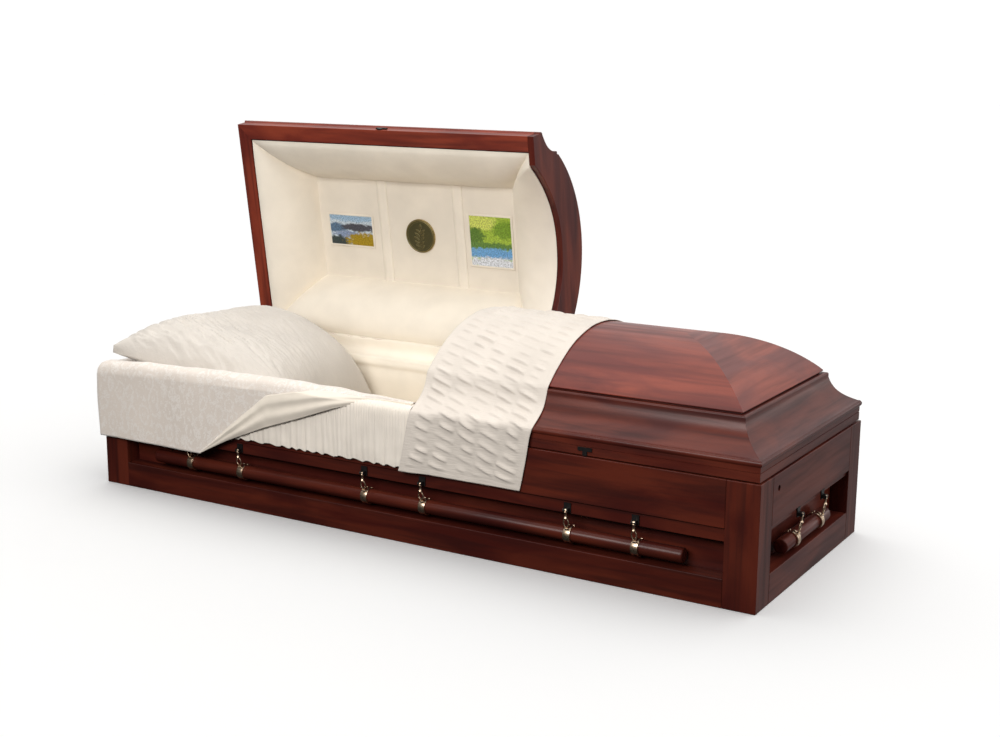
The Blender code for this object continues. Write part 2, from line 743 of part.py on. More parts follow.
def body_lining():
    """Padded cloth round the four walls inside the body."""
    outer_x = INNER_X - PANEL_THICKNESS - 3 * GAP
    outer_y = INNER_Y - PANEL_THICKNESS - 3 * GAP
    inner_x = outer_x - LINING_THICKNESS
    inner_y = outer_y - LINING_THICKNESS
    outer = [(-outer_x, -outer_y), (outer_x, -outer_y), (outer_x, outer_y), (-outer_x, outer_y)]
    inner = [(-inner_x, -inner_y), (inner_x, -inner_y), (inner_x, inner_y), (-inner_x, inner_y)]
    bottom = FLOOR_THICKNESS + 2 * GAP
    top = BODY_HEIGHT - LINING_TOP_MARGIN
    prism("body_lining", [outer, inner], "Z", bottom, top, CLOTH, PARTS)
    edge_x = inner_x - MATTRESS_CLEARANCE
    edge_y = inner_y - MATTRESS_CLEARANCE
    low = (-edge_x, -edge_y, bottom)
    high = (edge_x, edge_y, bottom + MATTRESS_HEIGHT)
    mattress = box("mattress", low, high, CLOTH, PARTS)
    bevel(mattress, MATTRESS_ROUND, 2)


def pillow_corners():
    """Middle-plane corners, keyed by side: -1 is the head side or the front, 1 the foot side or the back."""
    head = -HALF_LENGTH
    foot = head + PILLOW_FOOT_FROM_END
    side = HALF_WIDTH - PILLOW_SIDE_MARGIN
    low = BODY_HEIGHT - PILLOW_FOOT_SINK
    front_foot = -HALF_WIDTH + PILLOW_FOOT_FRONT_MARGIN
    tip_y = -HALF_WIDTH + PILLOW_TIP_FROM_FACE
    return {
        (-1, -1): Vector((head + PILLOW_TIP_FROM_END, tip_y, BODY_HEIGHT + PILLOW_TIP_RISE)),
        (-1, 1): Vector((head + PILLOW_BACK_FROM_END, side, BODY_HEIGHT + PILLOW_BACK_RISE)),
        (1, -1): Vector((foot, front_foot, low + PILLOW_FOOT_FRONT_RISE)),
        (1, 1): Vector((foot, side, low)),
    }


def pillow():
    """Pillow leaning on the head end, its head-side corners higher and one of them over the front edge."""
    corners = pillow_corners()
    slope = corners[(1, 1)] - corners[(-1, 1)]
    normal = Vector((-slope.z, 0.0, slope.x)).normalized()
    bm = bmesh.new()
    bmesh.ops.create_cube(bm, size=2.0)
    bmesh.ops.subdivide_edges(bm, edges=bm.edges, cuts=7, use_grid_fill=True)
    for vert in bm.verts:
        a, b, c = vert.co
        weight = (1 - a ** 4) * (1 - b ** 4)
        pinch = 1 - 0.07 * (1 - abs(a * b))
        centre = Vector((0.0, 0.0, 0.0))
        for (sign_a, sign_b), corner in corners.items():
            centre += corner * (1 + sign_a * a * pinch) * (1 + sign_b * b * pinch) / 4
        half = (PILLOW_EDGE + (PILLOW_THICKNESS - PILLOW_EDGE) * weight) / 2
        vert.co = centre + normal * (c * half + 0.25 * PILLOW_THICKNESS * weight)
    add_object("pillow", mesh_from(bm, "pillow"), CLOTH, PARTS)


def front_apron():
    """Gathered cloth over the front edge: a roll on the top board and a skirt in front of it."""
    face = HALF_WIDTH + GAP
    outer = face + APRON_THICKNESS
    inner = outer - APRON_ROLL_DEPTH
    low = BODY_HEIGHT + GAP
    round_off = 0.014
    outline = [
        (-face, APRON_HEM),
        (-face, low),
        (-inner, low),
        (-inner, APRON_TOP - round_off),
        (-inner - round_off, APRON_TOP),
        (-outer + round_off, APRON_TOP),
        (-outer, APRON_TOP - round_off),
        (-outer, APRON_HEM),
    ]
    start = -(HALF_LENGTH - BOARD_THICKNESS)
    prism("front_apron", [outline], "X", start, APRON_END_X, CLOTH, PARTS)


def head_throw():
    """Throw over the front edge and round the head end, its front corner cut away on a slant."""
    inner_x = HALF_LENGTH + GAP + APRON_THICKNESS + THROW_CLEARANCE
    inner_y = HALF_WIDTH + GAP + APRON_THICKNESS + THROW_CLEARANCE
    inner_top = APRON_TOP + THROW_CLEARANCE
    outer_x = inner_x + THROW_THICKNESS
    outer_y = inner_y + THROW_THICKNESS
    top = inner_top + THROW_THICKNESS
    back = HALF_WIDTH - THROW_BACK_MARGIN
    past_end = THROW_END_X + OVERRUN
    past_back = back + OVERRUN
    low = (-outer_x, -outer_y, THROW_HEM - OVERRUN)
    shell = box("head_throw", low, (past_end, past_back, top), CLOTH, PARTS)
    bevel(shell, THROW_ROUND, 2)
    low = (-outer_x - OVERRUN, -outer_y - OVERRUN, THROW_HEM)
    edges = box("throw edge cutter", low, (THROW_END_X, back, top + OVERRUN), CLOTH, CUTTERS)
    boolean(shell, as_cutter(edges), "INTERSECT")
    low = (-inner_x, -inner_y, THROW_HEM - 2 * OVERRUN)
    high = (past_end + OVERRUN, past_back + OVERRUN, inner_top)
    under = box("throw under cutter", low, high, CLOTH, CUTTERS)
    bevel(under, THROW_ROUND - THROW_THICKNESS + GAP, 2)
    boolean(shell, as_cutter(under), "DIFFERENCE")
    edge = APRON_ROLL_DEPTH - APRON_THICKNESS
    low = (-HALF_LENGTH + APRON_ROLL_DEPTH, -HALF_WIDTH + edge, THROW_HEM - 3 * OVERRUN)
    high = (past_end + 2 * OVERRUN, past_back + 2 * OVERRUN, top + OVERRUN)
    mouth = box("throw mouth cutter", low, high, CLOTH, CUTTERS)
    boolean(shell, as_cutter(mouth), "DIFFERENCE")
    start = -HALF_LENGTH + THROW_FOLD_START
    below = THROW_HEM - OVERRUN
    slant = [
        (start, below),
        (start, THROW_HEM),
        (start + THROW_FOLD_TURN[0], THROW_HEM + THROW_FOLD_TURN[1]),
        (start + THROW_FOLD_BEND[0], THROW_HEM + THROW_FOLD_BEND[1]),
        (THROW_END_X, THROW_HEM + THROW_FOLD_TOP),
        (past_end, THROW_HEM + THROW_FOLD_TOP),
        (past_end, below),
    ]
    tool = prism("throw slant cutter", [slant], "Y", -outer_y - OVERRUN, 0.0, CLOTH, CUTTERS)
    boolean(shell, as_cutter(tool), "DIFFERENCE")


def runner_path(offset):
    """Line of the runner over the foot lid as (y, z): hem, nose, cove, crown and back edge."""
    drop_y = -(HALF_WIDTH + RUNNER_DROP_OUTSET + offset)
    points = [(drop_y, RUNNER_HEM), (drop_y, LID_BASE + NOSE_BOTTOM + NOSE_RADIUS)]
    for u, v in cove_points():
        slope = math.radians(115)
        y = -(HALF_WIDTH - u) + offset * math.cos(slope)
        points.append((y, LID_BASE + v + offset * math.sin(slope)))
    lip_y = -(HALF_WIDTH - COVE_END[0] + offset * 0.7)
    points.append((lip_y, LID_BASE + LIP_TOP + offset * 0.4))
    rise = CROWN_TOP - CROWN_BOTTOM - CROWN_LIP
    half = HALF_WIDTH - CROWN_EDGE
    radius = (half * half + rise * rise) / (2 * rise)
    top = LID_BASE + CROWN_TOP
    first = math.asin(half / radius)
    last = -math.asin(RUNNER_BACK_Y / radius)
    steps = 14
    for step in range(steps + 1):
        angle = first + (last - first) * step / steps
        y = -(radius + offset) * math.sin(angle)
        z = top - radius + (radius + offset) * math.cos(angle)
        points.append((y, z))
    return points


def foot_runner():
    """Quilted runner across the foot lid, hanging in front of the body."""
    inner = runner_path(RUNNER_CLEARANCE)
    outer = runner_path(RUNNER_CLEARANCE + RUNNER_THICKNESS)
    outline = inner + list(reversed(outer))
    end = RUNNER_START_X + RUNNER_WIDTH
    return prism("foot_runner", [outline], "X", RUNNER_START_X, end, CLOTH, PARTS)


def lining_side():
    """Outer side of the lid's padding as (u, v), a little inside the moulding and the crown."""
    rail = RAIL_SETBACK + RAIL_WIDTH + LID_LINING_CLEARANCE
    cove = COVE_HANDLE_HIGH[0] + RIM_BACK_THICKNESS + 0.005
    shelf = LIP_INNER + 0.006 + RIM_SHELF + 0.006
    top = LID_PANEL_DEPTH + LID_PANEL_BACKING
    return [
        (rail, LID_LINING_LIP),
        (rail, COVE_START[1] - 0.012),
        (cove, COVE_HANDLE_HIGH[1] - 0.016),
        (COVE_END[0] + RIM_BACK_THICKNESS + 0.018, COVE_END[1] - 0.018),
        (shelf, CROWN_BOTTOM),
        (shelf + 0.030, top),
    ]


def lid_lining(outer_end, near_end):
    """Padding inside the head lid, with a recess whose floor is the flat panel."""
    sides = lining_side()
    near = near_end - LID_LINING_CLEARANCE
    far = outer_end + sides[0][0]
    right = [(HALF_WIDTH - u, LID_BASE + v) for u, v in sides]
    left = [(-y, z) for y, z in reversed(right)]
    padding = prism("head_lid_lining", [right + left], "X", far, near, CLOTH, PARTS)
    lengthwise = [(outer_end + u, LID_BASE + v) for u, v in sides]
    top = lengthwise[-1][1]
    lengthwise += [(near + OVERRUN, top), (near + OVERRUN, LID_BASE + LID_LINING_LIP)]
    tool = prism("lid lining end cutter", [lengthwise], "Y", -HALF_WIDTH, HALF_WIDTH, CLOTH, CUTTERS)
    boolean(padding, as_cutter(tool), "INTERSECT")
    centre_x = (outer_end + near_end) / 2 + LID_PANEL_OFFSET
    boolean(padding, lid_recess(far, near, centre_x), "DIFFERENCE")
    return padding, centre_x


def lid_recess(far, near, centre_x):
    """Cutter for the lid's recess: wide at the mouth and as large as the panel at its floor."""
    floor = LID_BASE + LID_PANEL_DEPTH
    mouth = LID_BASE + LID_LINING_LIP - 0.010
    mouth_middle = (near + far) / 2
    mouth_half = (near - far) / 2 - LID_LINING_MOUTH_WIDTH
    side = HALF_WIDTH - lining_side()[0][0] - LID_LINING_MOUTH_WIDTH
    bm = bmesh.new()
    bmesh.ops.create_cube(bm, size=2.0)
    for vert in bm.verts:
        a, b, c = vert.co
        if c > 0:
            vert.co = (centre_x + a * LID_PANEL_LENGTH / 2, b * LID_PANEL_WIDTH / 2, floor)
        else:
            vert.co = (mouth_middle + a * mouth_half, b * side, mouth)
    return as_cutter(add_object("lid recess cutter", mesh_from(bm, "lid recess"), CLOTH, CUTTERS))


def lid_cards(centre_x):
    """Two flat picture cards and a round medallion on the lid's panel."""
    face = LID_BASE + LID_PANEL_DEPTH - GAP
    made = []
    for name, size, sign, margin in (
        ("landscape_card", LANDSCAPE_CARD, -1, LANDSCAPE_CARD_MARGIN),
        ("portrait_card", PORTRAIT_CARD, 1, PORTRAIT_CARD_MARGIN),
    ):
        x = centre_x + sign * (LID_PANEL_LENGTH / 2 - margin - size[0] / 2)
        low = (x - size[0] / 2, CARD_RAISE - size[1] / 2, face - CARD_THICKNESS)
        high = (x + size[0] / 2, CARD_RAISE + size[1] / 2, face)
        made.append(box(name, low, high, CARD, PARTS))
    start = (centre_x + MEDALLION_OFFSET, CARD_RAISE, face - MEDALLION_THICKNESS)
    end = (centre_x + MEDALLION_OFFSET, CARD_RAISE, face)
    medallion = cylinder("medallion", MEDALLION_RADIUS, start, end, 32, BRASS, PARTS)
    bevel(medallion, 0.002)
    made.append(medallion)
    return made


def lid_pivot(name):
    pivot = bpy.data.objects.new(name, None)
    PARTS.objects.link(pivot)
    pivot.location = (0.0, HINGE_Y, HINGE_Z)
    bpy.context.view_layer.update()
    return pivot


def hang(pivot, objects):
    for obj in objects:
        obj.parent = pivot
        obj.matrix_parent_inverse = pivot.matrix_world.inverted()


def cutters_of(objects):
    """Every cutter that an object's Boolean modifiers use, and the cutters of those."""
    tools = []
    for obj in objects:
        for modifier in obj.modifiers:
            if modifier.type == "BOOLEAN" and modifier.object not in tools:
                tools.append(modifier.object)
                tools += cutters_of([modifier.object])
    return tools


def lids():
    half_gap = LID_MEETING_GAP / 2
    board = HEADER_THICKNESS + GAP
    foot_start = LID_MEETING_X + half_gap
    foot = lid_rims("foot_lid", HALF_LENGTH, foot_start + board)
    foot.append(crown("foot_lid_crown", HALF_LENGTH, foot_start + board))
    foot.append(header("foot_lid_header", foot_start, foot_start + HEADER_THICKNESS))
    foot.append(catch("foot_lid_catch", (HALF_LENGTH + LID_MEETING_X) / 2 + 0.0275))
    foot.append(foot_runner())
    hang(lid_pivot("foot lid pivot"), foot + cutters_of(foot))

    head_start = LID_MEETING_X - half_gap
    head = lid_rims("head_lid", -HALF_LENGTH, head_start - board)
    head.append(crown("head_lid_crown", -HALF_LENGTH, head_start - board))
    head.append(header("head_lid_header", head_start - HEADER_THICKNESS, head_start))
    head.append(catch("head_lid_catch", (LID_MEETING_X - HALF_LENGTH) / 2 + 0.010))
    lining, centre_x = lid_lining(-HALF_LENGTH, head_start - board)
    head.append(lining)
    head += lid_cards(centre_x)
    pivot = lid_pivot("head lid pivot")
    hang(pivot, head + cutters_of(head))
    pivot.rotation_euler = (-math.radians(LID_OPEN_DEG), 0.0, 0.0)


remove_everything()
PARTS = new_collection("casket")
CUTTERS = new_collection("casket cutters")
WOOD = new_material("cherry wood", (0.19, 0.035, 0.020), 0.30)
BRASS = new_material("antique brass", (0.62, 0.44, 0.33), 0.30, 1.0)
DARK_METAL = new_material("dark metal", (0.03, 0.025, 0.022), 0.40, 0.8)
CLOTH = new_material("cream cloth", (0.86, 0.80, 0.68), 0.85)
CARD = new_material("picture card", (0.45, 0.50, 0.42), 0.45)

corner_posts()
side_boards()
end_boards()
floor_board()
body_lining()
pillow()
front_apron()
head_throw()
hinge_strip()
handles()
lids()
bpy.context.view_layer.update()
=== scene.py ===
import math

import bmesh
import bpy
import numpy as np
from mathutils import Matrix, Vector
from mathutils import noise


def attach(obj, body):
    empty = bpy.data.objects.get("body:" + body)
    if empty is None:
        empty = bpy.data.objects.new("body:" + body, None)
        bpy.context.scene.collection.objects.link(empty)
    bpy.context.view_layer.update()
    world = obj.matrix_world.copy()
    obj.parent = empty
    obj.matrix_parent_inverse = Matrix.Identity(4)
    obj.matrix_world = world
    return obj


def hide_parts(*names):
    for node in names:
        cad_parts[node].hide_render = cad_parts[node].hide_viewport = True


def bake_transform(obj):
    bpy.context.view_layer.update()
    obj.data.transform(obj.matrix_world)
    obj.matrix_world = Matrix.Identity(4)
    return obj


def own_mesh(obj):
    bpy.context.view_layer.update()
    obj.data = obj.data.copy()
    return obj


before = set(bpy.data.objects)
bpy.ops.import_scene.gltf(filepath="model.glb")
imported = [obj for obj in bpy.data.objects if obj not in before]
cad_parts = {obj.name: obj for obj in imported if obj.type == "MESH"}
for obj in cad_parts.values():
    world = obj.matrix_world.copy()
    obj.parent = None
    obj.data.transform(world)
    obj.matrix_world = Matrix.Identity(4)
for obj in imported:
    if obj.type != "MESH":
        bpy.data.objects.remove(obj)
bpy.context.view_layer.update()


# Studio: a plain white floor and a white surround, with three soft lights: a softbox overhead, a reflector
# beyond the foot end, and a fill from the front. The surround's own light comes in bands, for soft
# reflections in the lacquer.

CAMERA_EYE = (2.2478, -3.5716, 1.3077)
CAMERA_AZIMUTH = math.radians(30.8385)
CAMERA_ELEVATION = math.radians(12.1156)
CAMERA_ROLL = math.radians(0.4588)
SENSOR_WIDTH = 36.0
FOCAL_PIXELS = 1499.04
IMAGE_SIZE = (1000, 737)
CENTRE_PIXEL = (498.02, 371.54)

camera_data = bpy.data.cameras.new("camera")
camera_data.sensor_width = SENSOR_WIDTH
camera_data.lens = FOCAL_PIXELS * SENSOR_WIDTH / IMAGE_SIZE[0]
camera_data.shift_x = (IMAGE_SIZE[0] / 2 - CENTRE_PIXEL[0]) / IMAGE_SIZE[0]
camera_data.shift_y = (CENTRE_PIXEL[1] - IMAGE_SIZE[1] / 2) / IMAGE_SIZE[0]
camera = bpy.data.objects.new("camera", camera_data)
bpy.context.scene.collection.objects.link(camera)
azimuth, elevation, roll = CAMERA_AZIMUTH, CAMERA_ELEVATION, CAMERA_ROLL
flat_right = Vector((math.cos(azimuth), math.sin(azimuth), 0.0))
back = Vector((
    math.sin(azimuth) * math.cos(elevation),
    -math.cos(azimuth) * math.cos(elevation),
    math.sin(elevation),
))
flat_up = back.cross(flat_right)
right = flat_right * math.cos(roll) + flat_up * math.sin(roll)
up = flat_up * math.cos(roll) - flat_right * math.sin(roll)
camera.matrix_world = Matrix.Translation(CAMERA_EYE) @ Matrix((right, up, back)).transposed().to_4x4()
bpy.context.scene.camera = camera
bpy.context.scene.view_settings.view_transform = "Standard"


def new_nodes(name):
    """A new material with its shader, as (material, node tree, Principled shader)."""
    material = bpy.data.materials.new(name)
    material.use_nodes = True
    tree = material.node_tree
    return material, tree, tree.nodes["Principled BSDF"]


def add_node(tree, kind, *given, **settings):
    """A node with its settings and its inputs, by place or by name. A (node, output) pair is linked in."""
    node = tree.nodes.new(kind)
    inputs = list(enumerate(given))
    for key, value in settings.items():
        if hasattr(node, key):
            setattr(node, key, value)
        else:
            inputs.append((key.replace("_", " "), value))
    for key, value in inputs:
        if isinstance(value, tuple) and isinstance(value[-1], str):
            tree.links.new(value[0].outputs[value[1]], node.inputs[key])
        else:
            node.inputs[key].default_value = value
    return node


def link(tree, source, output, target, name):
    tree.links.new(source.outputs[output], target.inputs[name])


floor_material, tree, shader = new_nodes("studio floor")
shader.inputs["Base Color"].default_value = (0.93, 0.93, 0.93, 1.0)
shader.inputs["Roughness"].default_value = 0.9
shader.inputs["Specular IOR Level"].default_value = 0.1
# A slight glow keeps the floor white, because the lights are flagged off it.
shader.inputs["Emission Color"].default_value = (1.0, 1.0, 1.0, 1.0)
shader.inputs["Emission Strength"].default_value = 0.12
bm = bmesh.new()
bmesh.ops.create_circle(bm, cap_ends=True, segments=96, radius=40.0)
floor_mesh = bpy.data.meshes.new("studio_floor")
bm.to_mesh(floor_mesh)
bm.free()
floor_mesh.materials.append(floor_material)
floor = bpy.data.objects.new("studio_floor", floor_mesh)
bpy.context.scene.collection.objects.link(floor)
floor.location.z = -0.0005
floor.visible_glossy = False
floor.visible_diffuse = False

world = bpy.data.worlds.new("studio surround")
bpy.context.scene.world = world
world.use_nodes = True
tree = world.node_tree
surround = tree.nodes["Background"]
direction = add_node(tree, "ShaderNodeTexCoord")
toward = add_node(tree, "ShaderNodeVectorMath", (direction, "Generated"), (0.20, 0.80, 0.56),
                  operation="DOT_PRODUCT")
shade = add_node(tree, "ShaderNodeMapRange", interpolation_type="SMOOTHSTEP", From_Min=-0.35,
                 From_Max=0.42, To_Min=0.10, To_Max=1.52, Value=(toward, "Value"))
# Dim below the floor's level, white along the horizon, dim above that and brightest overhead.
height = add_node(tree, "ShaderNodeSeparateXYZ", Vector=(direction, "Generated"))
level = add_node(tree, "ShaderNodeMapRange", From_Min=-1.0, Value=(height, "Z"))
bands = add_node(tree, "ShaderNodeValToRGB")
steps = ((0.0, 0.20), (0.47, 0.22), (0.495, 1.0), (0.525, 1.0), (0.55, 0.42), (0.68, 0.48), (0.92, 1.0))
for number, (position, value) in enumerate(steps):
    stop = bands.color_ramp.elements[number] if number < 2 else bands.color_ramp.elements.new(position)
    stop.position = position
    stop.color = (value, value, value, 1.0)
link(tree, level, "Result", bands, "Fac")
strength = add_node(tree, "ShaderNodeMath", (shade, "Result"), (bands, "Color"), operation="MULTIPLY")
# What the camera sees of the surround is white from every side; only its light is banded.
seen = add_node(tree, "ShaderNodeLightPath")
shown = add_node(tree, "ShaderNodeMath", (strength, "Value"), (seen, "Is Camera Ray"), operation="MAXIMUM")
link(tree, shown, "Value", surround, "Strength")
surround.inputs["Color"].default_value = (1.0, 0.995, 0.985, 1.0)

# The lights are flagged off the floor, so that the casket's own soft shadow stays on it.
flags = bpy.data.collections.new("flagged from the lights")
flags.objects.link(floor)
flags.collection_objects[0].light_linking.link_state = "EXCLUDE"


def area_light(name, place, target, size, watts, colour):
    lamp = bpy.data.lights.new(name, "AREA")
    lamp.shape = "RECTANGLE"
    lamp.size, lamp.size_y = size
    lamp.energy = watts
    lamp.color = colour
    light = bpy.data.objects.new(name, lamp)
    bpy.context.scene.collection.objects.link(light)
    aim = Vector(target) - Vector(place)
    light.matrix_world = Matrix.Translation(place) @ aim.to_track_quat("-Z", "Y").to_matrix().to_4x4()
    return light


overhead = area_light("overhead softbox", (0.0, -0.7, 2.9), (-0.1, 0.0, 0.3),
                      (3.2, 1.4), 9.0, (1.0, 0.985, 0.965))
reflector = area_light("foot reflector", (3.4, 0.3, 1.5), (1.0, 0.0, 0.3),
                       (1.4, 2.2), 16.0, (1.0, 0.98, 0.96))
fill = area_light("front fill", (0.2, -3.6, 2.2), (-0.2, 0.2, 0.45), (2.6, 1.4), 118.0, (1.0, 0.98, 0.96))
for light in (overhead, reflector, fill):
    light.light_linking.receiver_collection = flags


# Body of the casket: floor board, corner posts, top boards with set-back ledges, sills and panels.
# Solid hardwood in a dark cherry stain under a satin lacquer, mitred and glued, grain along each board.

GRAIN_DARK = (0.021, 0.0046, 0.0042, 1.0)
GRAIN_MID = (0.058, 0.0092, 0.0066, 1.0)
GRAIN_LIGHT = (0.108, 0.0200, 0.0105, 1.0)


def new_group(name, inputs, outputs):
    """An empty shader group; inputs are (name, kind, default) and outputs (name, kind)."""
    group = bpy.data.node_groups.new(name, "ShaderNodeTree")
    for label, kind, default in inputs:
        socket = group.interface.new_socket(name=label, in_out="INPUT", socket_type=kind)
        if default is not None:
            socket.default_value = default
    for label, kind in outputs:
        group.interface.new_socket(name=label, in_out="OUTPUT", socket_type=kind)
    return group, group.nodes.new("NodeGroupInput"), group.nodes.new("NodeGroupOutput")


def stained_grain_group():
    """Stained cherry: long dark clouds, finer streaks, and open pores that also make the bump."""
    group, given, made = new_group(
        "Stained cherry grain",
        [
            ("Vector", "NodeSocketVector", None),
            ("Dark", "NodeSocketColor", GRAIN_DARK),
            ("Mid", "NodeSocketColor", GRAIN_MID),
            ("Light", "NodeSocketColor", GRAIN_LIGHT),
            ("Figure", "NodeSocketFloat", 1.0),
        ],
        [
            ("Color", "NodeSocketColor"),
            ("Roughness", "NodeSocketFloat"),
            ("Height", "NodeSocketFloat"),
        ],
    )
    scales = {"cloud": (2.4, 10.0, 10.0), "streak": (2.6, 48.0, 48.0), "pore": (45.0, 1500.0, 1500.0)}
    textures = {}
    for key, detail, distortion in (("cloud", 4.0, 0.9), ("streak", 5.0, 0.35), ("pore", 2.0, 0.1)):
        stretch = add_node(group, "ShaderNodeVectorMath", (given, "Vector"), scales[key],
                           operation="MULTIPLY")
        texture = add_node(group, "ShaderNodeTexNoise", Scale=1.0, Detail=detail, Distortion=distortion,
                           Vector=(stretch, "Vector"))
        textures[key] = texture
    cloud_mask = add_node(group, "ShaderNodeMapRange", interpolation_type="SMOOTHSTEP", From_Min=0.36,
                          From_Max=0.66)
    link(group, textures["cloud"], "Fac", cloud_mask, "Value")
    base = add_node(group, "ShaderNodeMix", data_type="RGBA", Factor=(cloud_mask, "Result"),
                    A=(given, "Mid"), B=(given, "Light"))
    streak_mask = add_node(group, "ShaderNodeMapRange", interpolation_type="SMOOTHSTEP", From_Min=0.40,
                           From_Max=0.72, To_Min=0.0, To_Max=0.60)
    link(group, textures["streak"], "Fac", streak_mask, "Value")
    figured = add_node(group, "ShaderNodeMath", (streak_mask, "Result"), (given, "Figure"),
                       operation="MULTIPLY", use_clamp=True)
    streaked = add_node(group, "ShaderNodeMix", data_type="RGBA", Factor=(figured, "Value"),
                        A=(base, "Result"), B=(given, "Dark"))
    pore_mask = add_node(group, "ShaderNodeMapRange", From_Min=0.58, From_Max=0.74, To_Min=0.0, To_Max=0.25)
    link(group, textures["pore"], "Fac", pore_mask, "Value")
    pored = add_node(group, "ShaderNodeMix", data_type="RGBA", Factor=(pore_mask, "Result"),
                     A=(streaked, "Result"), B=(given, "Dark"))
    link(group, pored, "Result", made, "Color")
    rough = add_node(group, "ShaderNodeMapRange", From_Min=0.3, From_Max=0.7, To_Min=0.30, To_Max=0.44)
    link(group, textures["streak"], "Fac", rough, "Value")
    link(group, rough, "Result", made, "Roughness")
    height = add_node(group, "ShaderNodeMath", operation="SUBTRACT")
    link(group, textures["streak"], "Fac", height, 0)
    link(group, pore_mask, "Result", height, 1)
    link(group, height, "Value", made, "Height")
    return group


stained_grain = stained_grain_group()
ALONG = {"X": (0.0, 0.0, 0.0), "Y": (0.0, 0.0, math.pi / 2), "Z": (0.0, math.pi / 2, 0.0)}


def stained_wood(name, along, offset=(0.0, 0.0, 0.0), tone_and_light=1.0, figure=1.0, lacquer=0.1,
                 gloss=0.16):
    """A stained board's material. Its grain runs along one axis, and the offset gives it its own figure. Its
    colours are scaled by a factor: for a board's own tone, and on the lids for painted light and sheen.
    """
    material, tree, shader = new_nodes(name)
    place = add_node(tree, "ShaderNodeTexCoord")
    turn = add_node(tree, "ShaderNodeMapping", Location=offset,
                    Rotation=along if isinstance(along, tuple) else ALONG[along], Vector=(place, "Object"))
    grain = add_node(tree, "ShaderNodeGroup", node_tree=stained_grain)
    for key, colour in (("Dark", GRAIN_DARK), ("Mid", GRAIN_MID), ("Light", GRAIN_LIGHT)):
        grain.inputs[key].default_value = tuple(c * tone_and_light for c in colour[:3]) + (1.0,)
    grain.inputs["Figure"].default_value = figure
    link(tree, turn, "Vector", grain, "Vector")
    link(tree, grain, "Color", shader, "Base Color")
    link(tree, grain, "Roughness", shader, "Roughness")
    bump = add_node(tree, "ShaderNodeBump", Strength=0.18, Distance=0.0004, Height=(grain, "Height"))
    link(tree, bump, "Normal", shader, "Normal")
    shader.inputs["Specular IOR Level"].default_value = gloss
    shader.inputs["Coat Weight"].default_value = lacquer
    shader.inputs["Coat Roughness"].default_value = 0.22
    shader.inputs["Coat IOR"].default_value = 1.38
    return material


def dress(nodes, material):
    """Give carried-over CAD nodes their finish."""
    for name in nodes:
        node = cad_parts[name]
        node.data.materials.clear()
        node.data.materials.append(material)


boards_lengthwise = {
    "front": stained_wood("front boards", "X", (0.3, 0.1, 0.4)),
    "back": stained_wood("back boards", "X", (1.7, 0.6, 0.2)),
}
for side, material in boards_lengthwise.items():
    dress([f"{side}_top_board", f"{side}_panel"], material)
dress(["front_sill"], stained_wood("front sill", "X", (4.1, 0.2, 1.3), tone_and_light=0.85))
dress(["back_sill"], stained_wood("back sill", "X", (6.2, 0.4, 1.9)))
for end, shift in (("head", 2.3), ("foot", 3.1)):
    across = stained_wood(f"{end} end boards", "Y", (shift, 0.7, 0.9), tone_and_light=1.1)
    dress([f"{end}_top_board", f"{end}_sill", f"{end}_panel"], across)
    for side in ("front", "back"):
        upright = stained_wood(f"{end} {side} post", "Z", (shift, 0.2, shift / 2))
        dress([f"{end}_{side}_post"], upright)
dress(["floor_board"], stained_wood("floor board", "X", (0.9, 2.2, 0.1), tone_and_light=0.8, lacquer=0.05))


# Lids: each has three mitred mouldings (rail, half-round nose, cove and lip), a domed crown sprung into
# them, and an arched header board that closes the end where the lids meet. Stained like the body, but the
# domes and the open head lid's rails are painted lighter, for the light and sheen that fall on them.

LENGTH = 2.110
WIDTH = 0.749
LID_BASE = 0.3235
HALF_LENGTH = LENGTH / 2
HALF_WIDTH = WIDTH / 2
LID_MEETING = {"head": 0.0685, "foot": 0.0715}
RAIL_SETBACK = 0.005
RAIL_WIDTH = 0.047
RAIL_GROOVE = 0.0226
NOSE_BOTTOM = 0.0365
NOSE_RADIUS = 0.0088
COVE = ((0.0090, 0.0545), (0.0450, 0.0725), (0.0640, 0.0880), (0.0745, 0.1245))
LIP_TOP = 0.1370
LIP_INNER = 0.0880
LIP_ROUND = 0.005
CROWN_EDGE = 0.0862
CROWN_BOTTOM = 0.1410
CROWN_LIP = 0.0035
CROWN_TOP = 0.2650
CROWN_THICKNESS = 0.016
RIM_BACK_THICKNESS = 0.019
RIM_SHELF = 0.022
HEADER_THICKNESS = 0.020
ARCH_HALF_WIDTH = 0.284
ARCH_RISE = 0.136
ARCH_POWER = 2.2
SMALL_GAP = 0.0003
HINGE = Vector((0.0, 0.3775, 0.322))
HEAD_LID_TILT = math.radians(-81.5)
OPENED = Matrix.Translation(HINGE) @ Matrix.Rotation(HEAD_LID_TILT, 4, "X") @ Matrix.Translation(-HINGE)


def add_piece(name, mesh, materials, body, replaced=(), sharp=35):
    """Put a finished mesh in the scene, riding on a body, with its finish and its CAD nodes replaced."""
    for material in materials:
        mesh.materials.append(material)
    mesh.polygons.foreach_set("use_smooth", [True] * len(mesh.polygons))
    if sharp:
        mesh.set_sharp_from_angle(angle=math.radians(sharp))
    piece = bpy.data.objects.new(name, mesh)
    bpy.context.scene.collection.objects.link(piece)
    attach(piece, body)
    if replaced:
        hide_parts(*replaced)
    return piece


def mesh_of(name, verts, faces, merge=0.00002, outward=True):
    """A mesh from points and faces, with its doubles merged and its faces turned outwards."""
    mesh = bpy.data.meshes.new(name)
    mesh.from_pydata([tuple(v) for v in verts], [], faces)
    bm = bmesh.new()
    bm.from_mesh(mesh)
    if merge:
        bmesh.ops.remove_doubles(bm, verts=bm.verts, dist=merge)
    if outward:
        bmesh.ops.recalc_face_normals(bm, faces=bm.faces)
    bm.to_mesh(mesh)
    bm.free()
    return mesh


def open_head_lid(mesh, end):
    """The head lid is made closed and then turned open on its hinge."""
    if end == "head":
        mesh.transform(OPENED)
    return mesh


